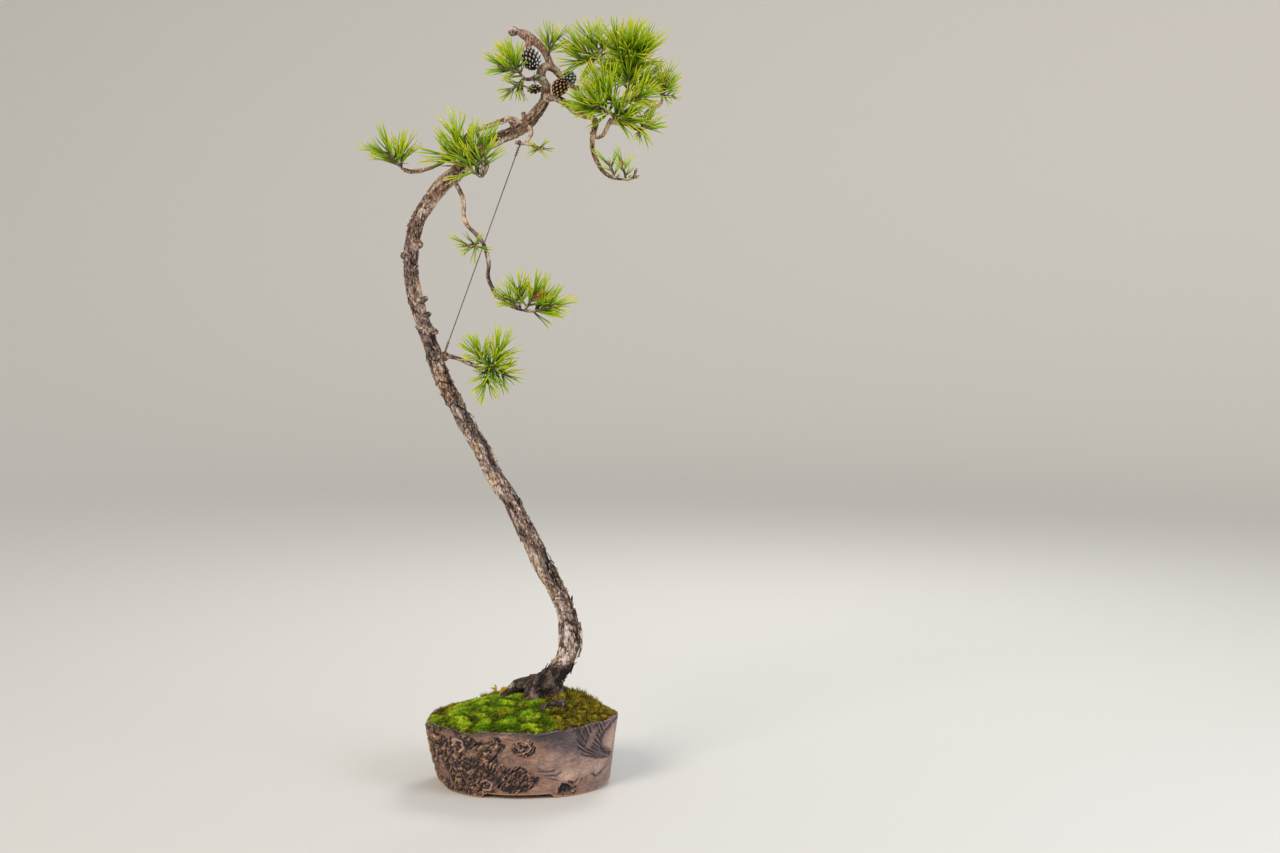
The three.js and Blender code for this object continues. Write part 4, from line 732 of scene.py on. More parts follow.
def fired_clay(pot):
    """Unglazed stoneware, torn and pressed by hand, then rubbed with dark oxide that stays in its
    hollows: matte, mauve-brown where smooth, ochre on the crests and near black below them."""
    material, add, place, shader = new_material("unglazed_stoneware")
    stain, crest, clods, shard, tone, near, edge = (
        add("ShaderNodeAttribute", attribute_name=key).outputs["Fac"]
        for key in ("stain", "crest", "clods", "shard", "tone", "near", "edge"))
    # Brushed streaks of the wash 3 mm across, and crumbs of 1 to 2 mm
    brushed = add("ShaderNodeMapping", {"Vector": place, "Rotation": (0.5, 0.4, 0.0), "Scale": (1.0, 1.0, 2.2)})
    smear = add("ShaderNodeTexNoise", {
        "Vector": brushed, "Scale": 170.0, "Detail": 5.0, "Roughness": 0.72, "Distortion": 0.5})
    grain = add("ShaderNodeTexNoise", {"Vector": place, "Scale": 480.0, "Detail": 4.0, "Roughness": 0.7})
    lift = add("ShaderNodeMath", [smear, 1.1, -0.55], operation="MULTIPLY_ADD")
    level = add("ShaderNodeMath", [tone, lift], operation="ADD", use_clamp=True)
    body = add("ShaderNodeValToRGB", [level], [
        (0.02, "#473b41"), (0.24, "#655355"), (0.42, "#816860"), (0.58, pot.clay_colour), (0.78, "#b49484"),
        (1.0, "#d3b6aa")])
    warmth = add("ShaderNodeMath", [near, 0.7], operation="MULTIPLY")
    body = add("ShaderNodeMix", {"Factor": warmth, 6: body, 7: (0.98, 0.8, 0.6, 1)}, data_type="RGBA",
               blend_type="MULTIPLY")
    lift = add("ShaderNodeMath", [grain, 1.3, -0.65], operation="MULTIPLY_ADD")
    level = add("ShaderNodeMath", [shard, lift], operation="ADD", use_clamp=True)
    torn = add("ShaderNodeValToRGB", [level], [
        (0.1, pot.oxide_colour), (0.3, "#4a3832"), (0.46, "#7b5a4a"), (0.64, "#a07a5c"),
        (0.9, pot.crest_colour)])
    clay = add("ShaderNodeMix", {"Factor": clods, 6: body, 7: torn}, data_type="RGBA")
    rubbed = add("ShaderNodeValToRGB", [crest], [(0.3, "#8b7480"), (0.6, "#a88b82"), (0.95, pot.crest_colour)])
    tops = add("ShaderNodeMapRange", [crest, 0.08, 0.6, 0.0, 0.9])
    clay = add("ShaderNodeMix", {"Factor": tops, 6: clay, 7: rubbed}, data_type="RGBA")
    drift = add("ShaderNodeMath", [grain, 0.8, -0.4], operation="MULTIPLY_ADD")
    depth = add("ShaderNodeMath", [stain, drift], operation="ADD", use_clamp=True)
    share = add("ShaderNodeMapRange", [depth, 0.12, 0.95, 0.0, 0.93])
    stained = add("ShaderNodeMix", {"Factor": share, 6: clay, 7: linear(pot.oxide_colour)}, data_type="RGBA")
    worn = add("ShaderNodeMix", {"Factor": edge, 6: stained, 7: "#b98f68"}, data_type="RGBA")
    rough = add("ShaderNodeMapRange", [smear, 0.3, 0.7, 0.5, 0.76])
    crumbs = add("ShaderNodeMath", [clods, 1.6, 0.35], operation="MULTIPLY_ADD")
    height = add("ShaderNodeMath", [grain, crumbs], operation="MULTIPLY")
    height = add("ShaderNodeMath", [smear, 0.7, height], operation="MULTIPLY_ADD")
    bump = add("ShaderNodeBump", {"Height": height, "Strength": 0.7, "Distance": 0.001})
    plug(shader, {"Base Color": worn, "Roughness": rough, "Normal": bump})
    return material


class BonsaiPot(PropertyGroup):
    clay_colour: FloatVectorProperty(name="Clay", description="Smooth fired clay",
                                     default=linear("#997d70")[:3], **COLOUR)
    crest_colour: FloatVectorProperty(name="Crests", description="Clay rubbed bare on the clods",
                                      default=linear("#dfb387")[:3], **COLOUR)
    oxide_colour: FloatVectorProperty(name="Oxide", description="Dark oxide left in cuts and hollows",
                                      default=linear("#231c20")[:3], **COLOUR)
    relief: FloatProperty(name="Relief", description="Share of the modelled height of clods and cuts",
                          default=1.0, min=0, max=1.5, subtype="FACTOR")


class BONSAI_OT_pot(Operator):
    """Build the hand-built oval pot with its torn rim, clods, cuts and four feet"""
    bl_idname = "bonsai.pot"
    bl_label = "Pot"

    def execute(self, context):
        pot = context.scene.bonsai_pot
        rng = np.random.default_rng(5)
        # The front carries the finest work, so its columns stand closer together
        angle = np.r_[np.linspace(-math.pi - 0.15, 0.25, 500, endpoint=False),
                      np.linspace(0.25, math.pi - 0.15, 230, endpoint=False)]
        sectors, rows = len(angle), 112
        foot = foot_height(pot_wall(angle, np.zeros(sectors)))
        across = np.stack([np.cos(angle), np.sin(angle)], -1)
        circle = across * WALL_RADIUS
        rim = rim_height(angle) + 0.9 * noise(circle, 7, rng, 4)
        z = foot + (rim - foot) * np.linspace(0, 1, rows)[:, None]
        turn = np.broadcast_to(angle, z.shape)
        out, (stain, crest, clods, shard, tone, near) = clay_surface(turn, z, rng)
        fade = smooth(z, 0.5, 6.0)
        out = out * pot.relief * fade * smooth(rim - z, -0.5, 2.0)
        profile = [pot_wall(turn, z, -out)]
        facts = {"stain": [stain * fade], "crest": [crest * fade], "edge": [smooth(-(z - foot), -1.8, -0.4)],
                 "clods": [clods], "shard": [shard], "tone": [tone], "near": [near]}

        def ring(points, dark=0.25, worn=0.0, bare=0.0):
            """One more row of the profile, over the rim, down inside and back under the pot."""
            profile.append(points[None])
            for layer, value in zip(facts.values(), (dark, bare, worn, 0.0, 0.5, 0.5, 0.0)):
                layer.append(np.broadcast_to(np.clip(value, 0, 1), (1, sectors)))

        lip = 0.7 * noise(circle, 5, rng)
        for inset, drop in ((0.9, 0.1), (2.2, 0.7), (3.8, 2.2), (5.5, 4.0)):
            ring(pot_wall(angle, rim - lip * 0.3 - drop, inset), 0.2 + 0.3 * noise(circle, 4, rng), 0,
                 0.5 if inset < 2 else 0.1)
        for level in (6.5, 9.0, 20.0, 40.0):
            ring(pot_wall(angle, rim - level, POT_WALL), 0.7)
        floor = POT_FLOOR["top"]
        ring(pot_wall(angle, np.full(sectors, floor + 3.0), POT_WALL), 0.7)
        ring(pot_wall(angle, np.full(sectors, floor), POT_WALL + POT_FLOOR["rounding"]), 0.7)
        hole = across * DRAIN_RADIUS
        inner = pot_wall(angle, np.zeros(sectors), FOOT_RING)[:, :2]
        for level, spread in ((floor, 0.4), (floor, 0.0), (floor - 3, 0.0), (POT_FLOOR["underside"], 0.0),
                              (POT_FLOOR["underside"], 0.5), (POT_FLOOR["underside"], 1.0)):
            ring(np.column_stack([hole + (inner - hole) * spread, np.full(sectors, level)]), 0.3)
        for inset in (FOOT_RING, FOOT_RING / 2):
            sole = pot_wall(angle, np.zeros(sectors), inset)
            sole[:, 2] = foot_height(sole)
            ring(sole, 0.1, 0.8)
        points = np.concatenate(profile).reshape(-1, 3)
        last = len(points) - sectors
        faces = grid_faces(len(points) // sectors, sectors)
        faces += [[last + j, last + (j + 1) % sectors, (j + 1) % sectors, j] for j in range(sectors)]
        facts = {key: np.concatenate(layer).ravel() for key, layer in facts.items()}
        settle(mesh_piece("pot_clay", points, faces, fired_clay(pot), facts), "clay", "pot")
        return {"FINISHED"}


# Moss
MOSS_CROWN = 94
MOSS_BELOW_RIM = 1.6
TALL_MOSS = {"x": 62, "y": 22, "wide": 30, "deep": 34, "rise": 5.5}
# Rises and dips of the moss: middle x, y, half sizes, height
MOSS_SWELLS = [(-52, 32, 32, 36, -5.2), (-70, -50, 18, 9, 2.5), (-36, -62, 14, 8, 2.2), (-90, 16, 12, 26, -2),
               (94, 14, 12, 26, -2.5), (37, -45, 10, 6, -5), (-6, -14, 26, 18, -2.2), (8, -44, 9, 6, -2),
               (62, -58, 9, 6, -2)]
# Patches of other colours: middle x, y, half sizes, warmer (towards rust and brown), brighter. The darkest, at
# x 37, y -45, is painted shade in the pit there
MOSS_PATCHES = [(-2, -18, 30, 22, -0.1, 0.12), (-62, -60, 34, 13, -0.14, 0.4), (-14, -47, 11, 4.5, 0.55, -0.1),
                (-22, -52, 8, 4, 0.7, -0.7), (14, -70, 13, 9, 0.34, 0.05), (53, -37, 10, 8, 0.55, 0.9),
                (64, -68, 7, 6, 0.6, -0.5), (24, -14, 13, 8, -0.4, 0.4), (50, -60, 10, 6, -0.42, 0.7),
                (66, -22, 9, 7, 0.52, 0.4), (74, -46, 8, 7, -0.36, 0.5), (88, -30, 7, 9, 0.5, 0.8),
                (60, 8, 14, 10, 0.3, -0.5), (82, 2, 8, 8, -0.3, 0.4), (42, 14, 9, 8, 0.5, 0.3),
                (-88, -18, 13, 20, 0.42, -0.3), (-84, 14, 16, 26, 0.5, -0.35),
                (37, -45, 11, 6, 0.2, -1.7), (36, -58, 9, 5, 0.1, -0.6),
                (50, -8, 9, 7, -0.35, 0.3), (22, -36, 10, 8, -0.12, -0.2)]
# Where the two mosses meet, from the left to the front: x, y
MOSS_LINE = [[-125, 14], [-96, 20], [-66, 30], [-34, 26], [-8, 6], [14, -14], [34, -26], [30, -48],
             [38, -66], [46, -110]]
# No stalks stand in this round place behind the seedling
SEEDLING_CLEAR = {"at": (-24, 12), "radius": 17}


def moss_line_side(points):
    """How far in front of the line between the two mosses a point lies, in millimetres."""
    line = smooth_path([[x, y, 0] for x, y in MOSS_LINE], 4)[0][:, :2]
    gap = points[:, None, :2] - line[None]
    nearest = np.argmin((gap ** 2).sum(-1), axis=1)
    way = np.gradient(line, axis=0)[nearest]
    offset = points[:, :2] - line[nearest]
    side = way[:, 1] * -offset[:, 0] + way[:, 0] * offset[:, 1]
    return -np.sign(side) * np.linalg.norm(offset, axis=1)


def moss_height(distance, angle):
    """Height of the mound over the middle distance (0 to 1) and the angle."""
    edge = rim_height(angle) - MOSS_BELOW_RIM
    rise = np.maximum(0, 1 - distance ** 2) ** 1.15
    at = pot_wall(angle, POT_HEIGHT, POT_WALL) * distance[..., None]
    tall = TALL_MOSS["rise"] * np.exp(-((at[..., 0] - TALL_MOSS["x"]) / TALL_MOSS["wide"]) ** 2
                                      - ((at[..., 1] - TALL_MOSS["y"]) / TALL_MOSS["deep"]) ** 2)
    return edge + (MOSS_CROWN - edge) * rise + tall * np.minimum(1, 4 * (1 - distance))


def moss_tree():
    """Node tree: stars of narrow leaves over the upper side of a mound."""
    add, get = new_tree("Moss leaves", Density=("Float", 1e6), Leaf_Length=("Float", 0.002),
                        Leaf_Width=("Float", 0.0007), Leaves=("Int", 4), Lean=("Float", 0.7),
                        Upright=("Float", 0.3), Keep_Ground=("Bool", True), Seed=("Int", 1))
    leaf = add("GeometryNodeMeshCone", {
        "Vertices": 3, "Radius Top": 0.0, "Radius Bottom": get["Leaf Width"], "Depth": get["Leaf Length"]},
        fill_type="NGON")
    height = add("ShaderNodeSeparateXYZ", [add("GeometryNodeInputPosition")]).outputs["Z"]
    along = add("ShaderNodeMath", [height, get["Leaf Length"]], operation="DIVIDE")
    leaf = add("GeometryNodeStoreNamedAttribute", {"Geometry": leaf, "Name": "along", "Value": along},
               data_type="FLOAT", domain="POINT")
    ring = add("GeometryNodeMeshCircle", {"Vertices": get["Leaves"], "Radius": 0.00005})
    turn = add("ShaderNodeMath", [add("GeometryNodeInputIndex"), 2.4], operation="MULTIPLY")
    sway = add("FunctionNodeRandomValue", {2: 0.6, 3: 1.25, "Seed": 7}, data_type="FLOAT")
    lean = add("ShaderNodeMath", [get["Lean"], sway], operation="MULTIPLY")
    pose = add("FunctionNodeEulerToRotation", [add("ShaderNodeCombineXYZ", {"Y": lean, "Z": turn})])
    star = add("GeometryNodeInstanceOnPoints", {"Points": ring, "Instance": leaf, "Rotation": pose})
    star = add("GeometryNodeRealizeInstances", [star])
    upward = add("ShaderNodeSeparateXYZ", [add("GeometryNodeInputNormal")]).outputs["Z"]
    top = add("FunctionNodeCompare", [upward, 0.12], data_type="FLOAT", operation="GREATER_THAN")
    scatter = add("GeometryNodeDistributePointsOnFaces", {
        "Mesh": get["Geometry"], "Selection": top, "Density": get["Density"], "Seed": get["Seed"]},
        distribute_method="RANDOM")
    up = add("ShaderNodeMix", {"Factor": get["Upright"], 4: scatter.outputs["Normal"], 5: (0, 0, 1)},
             data_type="VECTOR")
    aim = add("FunctionNodeAlignRotationToVector", {"Vector": up}, axis="Z")
    spin = add("FunctionNodeRandomValue", {0: (-0.3, -0.3, 0.0), 1: (0.3, 0.3, 6.283), "Seed": 3},
               data_type="FLOAT_VECTOR")
    aim = add("FunctionNodeRotateRotation", [aim, add("FunctionNodeEulerToRotation", [spin])],
              rotation_space="LOCAL")
    size = add("FunctionNodeRandomValue", {2: 0.6, 3: 1.35, "Seed": 5}, data_type="FLOAT")
    tint = add("FunctionNodeRandomValue", {2: 0.0, 3: 1.0, "Seed": 9}, data_type="FLOAT")
    marked = add("GeometryNodeStoreNamedAttribute", {"Geometry": scatter, "Name": "tint", "Value": tint},
                 data_type="FLOAT", domain="POINT")
    grown = add("GeometryNodeInstanceOnPoints", {
        "Points": marked, "Instance": star, "Rotation": aim, "Scale": size})
    real = add("GeometryNodeRealizeInstances", [grown])
    ground = add("GeometryNodeSwitch", {"Switch": get["Keep Ground"], "True": get["Geometry"]},
                 input_type="GEOMETRY")
    return end_tree(add, get, ground, real)


def moss_material(name, stops, patches, tip, glow):
    """Living moss: crowded tiny leaves that take light deep down, so it is matte and soft, with painted
    shade darkest between its leaves and in its creases, and yellower at their tips."""
    material, add, place, shader = new_material(name)
    along, tint, warm, hollow, bright = (add("ShaderNodeAttribute", attribute_name=key).outputs["Fac"]
                                         for key in ("along", "tint", "warm", "hollow", "bright"))
    # Patches of colour about 8 mm across, broken up by the tint of each star of leaves
    patch = add("ShaderNodeTexNoise", {"Vector": place, "Scale": patches, "Detail": 4.0, "Roughness": 0.65})
    level = add("ShaderNodeMath", [tint, 0.3, warm], operation="MULTIPLY_ADD")
    mixed = add("ShaderNodeMath", [patch, 0.9, level], operation="MULTIPLY_ADD")
    shifted = add("ShaderNodeMath", [mixed, 0.6], operation="SUBTRACT", use_clamp=True)
    living = add("ShaderNodeValToRGB", [shifted], stops)
    # Brighter places turn towards the tip colour: partly fresh growth and partly painted highlight
    fresh_and_lit = add("ShaderNodeMapRange", [bright, 0.45, 0.85, 0.0, glow + 0.15])
    living = add("ShaderNodeMix", {"Factor": fresh_and_lit, 6: living, 7: tip}, data_type="RGBA")
    # Painted shade: creases between the tufts are dark, and so are the leaf tips in them
    dull = add("ShaderNodeMapRange", [bright, 0.0, 0.5, 0.8, 0.0])
    crease = add("ShaderNodeMapRange", [hollow, 0.05, 0.85, 0.0, 0.9])
    creased = add("ShaderNodeMath", [dull, crease], operation="MAXIMUM")
    body = add("ShaderNodeMix", {"Factor": creased, 6: living, 7: "#0e1401"}, data_type="RGBA")
    # Painted shade towards each leaf's foot, deep in the mat
    shade = add("ShaderNodeMapRange", [along, 0.0, 0.6, 0.7, 0.0])
    deep = add("ShaderNodeMix", {"Factor": shade, 6: body, 7: "#1c2405"}, data_type="RGBA")
    # Leaf ends turn to the tip colour, less so in the creases, where painted shade falls
    ends = add("ShaderNodeMapRange", [along, 0.6, 1.0, 0.0, glow])
    open_air = add("ShaderNodeMath", [creased, -0.5, 1.0], operation="MULTIPLY_ADD")
    ends = add("ShaderNodeMath", [ends, open_air], operation="MULTIPLY")
    lit = add("ShaderNodeMix", {"Factor": ends, 6: deep, 7: tip}, data_type="RGBA")
    # Painted light and shade: every star is lighter or darker than its neighbours at random, as if it stood
    # higher or lower
    depth = add("ShaderNodeMapRange", [tint, 0.0, 0.4, 0.5, 0.0])
    star_shaded = add("ShaderNodeMix", {"Factor": depth, 6: lit, 7: "#171d03"}, data_type="RGBA")
    grain = add("ShaderNodeTexNoise", {"Vector": place, "Scale": 700.0, "Detail": 2.0})
    bump = add("ShaderNodeBump", {"Height": grain, "Strength": 0.6, "Distance": 0.0008})
    plug(shader, {"Base Color": star_shaded, "Roughness": 0.72, "Specular IOR Level": 0.18, "Normal": bump})
    return material


class BonsaiMoss(PropertyGroup):
    cushion_leaf: FloatProperty(name="Cushion leaf", description="Length of a leaf of the bright moss",
                                default=2.7 * MM, min=0.5 * MM, max=6 * MM, **LENGTH)
    star_leaf: FloatProperty(name="Star leaf", description="Length of a leaf of the tall brown moss",
                             default=4.2 * MM, min=1 * MM, max=12 * MM, **LENGTH)
    stalk_length: FloatProperty(name="Stalk length", description="Length of the tall moss's upright stalks",
                                default=7.5 * MM, min=2 * MM, max=20 * MM, **LENGTH)
    cushion_density: FloatProperty(name="Cushion density", description="Stars of bright moss on a square metre",
                                   default=0.52e6, min=0, max=3e6)
    star_density: FloatProperty(name="Star density", description="Stars of tall moss on a square metre",
                                default=0.222e6, min=0, max=3e6)
    stalk_density: FloatProperty(name="Stalk density", description="Pairs of stalks on a square metre",
                                 default=0.085e6, min=0, max=1e6)
    seed: IntProperty(name="Seed", description="Random seed of the moss leaves", default=3, min=0)


class BONSAI_OT_moss(Operator):
    """Build the two mosses with their leaves and stalks"""
    bl_idname = "bonsai.moss"
    bl_label = "Moss"

    def execute(self, context):
        moss = context.scene.bonsai_moss
        rng = np.random.default_rng(8)
        # Their colours run from green over olive and straw to rust and dark brown
        cushion = moss_material("cushion_moss", [
            (0.0, "#6fb609"), (0.2, "#a2cb0c"), (0.4, "#a9a70c"), (0.58, "#b48f16"), (0.78, "#bf6416"),
            (0.95, "#552b10")], 120.0, "#e2f836", 0.85)
        star = moss_material("star_moss", [
            (0.0, "#76910c"), (0.25, "#a59c12"), (0.45, "#b07e14"), (0.62, "#b5581a"), (0.8, "#6b3210"),
            (0.95, "#2f1a0a")], 110.0, "#ead643", 0.62)
        sectors, rings = 320, 86
        angle = np.linspace(-math.pi, math.pi, sectors, endpoint=False)
        distance, turn = np.meshgrid(np.linspace(1, 0.012, rings), angle, indexing="ij")
        at = pot_wall(turn, POT_HEIGHT, 3.0) * distance[..., None]
        at[..., 2] = moss_height(distance, turn)
        base = pot_wall(turn, POT_HEIGHT, POT_WALL + 0.65) * distance[..., None]
        base[..., 2] = at[..., 2] - 7.0
        flat = at[..., :2]
        x, y = flat[..., 0], flat[..., 1]
        front = moss_line_side(at.reshape(-1, 3)).reshape(turn.shape)
        front = front + 6.0 * noise(flat, 5, rng, 2) + 1.8 * noise(flat, 1.8, rng, 2)
        share = smooth(front, -4, 4)
        brown = 1 - share
        edge = smooth(1 - distance, 0.0, 0.07)
        # Pillows of cushion moss about 28 by 20 mm with narrow creases between them, tufts of 5 mm on both
        bent = flat + np.stack([noise(flat, 9, rng), noise(flat, 9, rng)], -1) * 5
        inside, pillow_tint, _, _ = cells(bent[..., 0] / 28, bent[..., 1] / 20, 900, rng)
        tuft_inside, tuft_tint, _, _ = cells(bent[..., 0] / 4.8 + 3, bent[..., 1] / 4.2, 900, rng)
        dome = np.sqrt(np.clip(inside * 1.7, 0, 1))
        tuft = np.sqrt(np.clip(tuft_inside * (1.2 + 0.8 * share), 0, 1))
        pillow = 5.0 * dome + 1.5 * tuft + 1.8 * (pillow_tint - 0.5) - 3.9
        rough = 1.4 * noise(flat, 6, rng) + 2.2 * tuft + 3.6 * (tuft_tint - 0.5) - 1.4
        at[..., 2] += (share * pillow + brown * rough) * (0.35 + 0.65 * edge)
        # How warm (towards rust and brown) and how bright each place is; the brightness is partly the moss's
        # own tone and partly painted highlight, higher where the mound stands higher
        warm = 0.36 * (1 - smooth(front, -14, 16)) * (1 + 0.5 * noise(flat, 10, rng)) - 0.1
        warm = warm + (0.08 + 0.3 * brown) * (tuft_tint - 0.5) + 0.1 * noise(flat, 7, rng)
        warm = warm + 0.6 * brown * noise(flat, 6.5, rng)
        clump = smooth(noise(flat, 3.2, rng, 2), -0.45, 0.45) - 0.5
        bright = 0.55 + 0.5 * (tuft_tint - 0.5) * (1 + 0.6 * brown) + 0.3 * (pillow_tint - 0.5) * share
        bright = bright + (0.12 + 0.8 * brown) * clump + 0.14 * noise(flat, 9, rng) + 0.05 * brown
        at[..., 2] += 2.4 * brown * clump * edge
        for mx, my, wide, deep, rise in MOSS_SWELLS:
            at[..., 2] += rise * np.exp(-((x - mx) / wide) ** 2 - ((y - my) / deep) ** 2) * (0.3 + 0.7 * edge)
        at[..., 2] = np.maximum(at[..., 2], base[..., 2] + 1.2)
        for mx, my, wide, deep, warmer, brighter in MOSS_PATCHES:
            patch = np.exp(-(((x - mx) / wide) ** 2 + ((y - my) / deep) ** 2) ** 1.5)
            warm, bright = warm + warmer * patch, bright + 0.5 * brighter * patch
        # Painted shade: hollow darkens the creases between pillows and tufts, and places that are little bright
        hollow = share * (1 - dome) * 1.35 + (0.85 + 0.75 * brown) * (1 - tuft)
        hollow = np.clip(hollow + smooth(-bright, -0.12, 0.2), 0, 1)
        fields = {"warm": warm, "hollow": hollow, "bright": np.clip(bright, 0, 1)}
        points = np.concatenate([at.reshape(-1, 3), base.reshape(-1, 3)])
        under = len(points) // 2
        leaves = moss_tree()

        def moss_body(name, keep, above, material, values):
            """One moss: the mound where it is kept, closed below and round its edge, and its leaves."""
            faces = []
            for i, j in zip(*np.nonzero(keep[:-1] & keep[1:])):
                k = (j + 1) % sectors
                quad = [i * sectors + j, i * sectors + k, (i + 1) * sectors + k, (i + 1) * sectors + j]
                faces += [quad, [v + under for v in reversed(quad)]]
            edges = dict.fromkeys((a, b) for quad in faces[::2] for a, b in zip(quad, quad[1:] + quad[:1]))
            faces += [[b, a, a + under, b + under] for a, b in edges if (b, a) not in edges]
            used = sorted({v for face in faces for v in face})
            index = {v: n for n, v in enumerate(used)}
            faces = [[index[v] for v in face] for face in faces if above(*points[face[0]])]
            facts = {"along": np.full(len(used), 0.3), "tint": np.full(len(used), 0.4)}
            for key, field in fields.items():
                facts[key] = np.r_[field.ravel(), field.ravel()][used]
            piece = mesh_piece(name, points[used], faces, material, facts)
            grow_nodes(piece, leaves, {**values, "Material": material})
            return piece

        def everywhere(x, y, z):
            """Leaves grow on all of a moss."""
            return True

        def stalks_grow(x, y, z):
            """Stalks stand at the back and right, away from the rim and the seedling."""
            return (x > -52 and y > -26 and math.hypot(x / 100, y / 78) < 0.86
                    and math.dist((x, y), SEEDLING_CLEAR["at"]) > SEEDLING_CLEAR["radius"])

        settle(moss_body("moss_cushion", front > -0.5, everywhere, cushion, {
            "Density": moss.cushion_density, "Leaf Length": moss.cushion_leaf, "Leaf Width": 0.6 * MM,
            "Leaves": 4, "Lean": 0.7, "Upright": 0.35, "Keep Ground": True, "Seed": moss.seed}),
            "cushion_moss", "moss_green")
        settle(moss_body("moss_stalks", front < 0.5, stalks_grow, star, {
            "Density": moss.stalk_density, "Leaf Length": moss.stalk_length, "Leaf Width": 0.6 * MM,
            "Leaves": 3, "Lean": 0.3, "Upright": 0.75, "Keep Ground": False, "Seed": moss.seed + 2}),
            "brown_moss")
        settle(moss_body("moss_star", front < 0.5, everywhere, star, {
            "Density": moss.star_density, "Leaf Length": moss.star_leaf, "Leaf Width": 0.62 * MM,
            "Leaves": 5, "Lean": 0.55, "Upright": 0.6, "Keep Ground": True, "Seed": moss.seed}),
            "brown_moss", "moss_brown")
        return {"FINISHED"}


# Needles
NEEDLE_LENGTH = 34
# How far bundles open from their shoot, in degrees, and how far they rise
NEEDLE_OPENING = {"foot": 60, "tip": 24, "end": 9, "jitter": 9}
NEEDLE_LIFT = 0.12
# Distance between bundles along a shoot in millimetres, where it isn't the usual one
BUNDLE_SPACING = 1.7
BUSHY = {"spray_crown": 1.15, "spray_left": 2.1, "spray_low": 1.15, "spray_hanging_end": 1.45}
# A bud's rows: how far beyond the tip of its shoot, and radius
BUD_SHAPE = ((-1.0, 1.1), (0.6, 1.75), (2.4, 1.45), (4.6, 0.35))
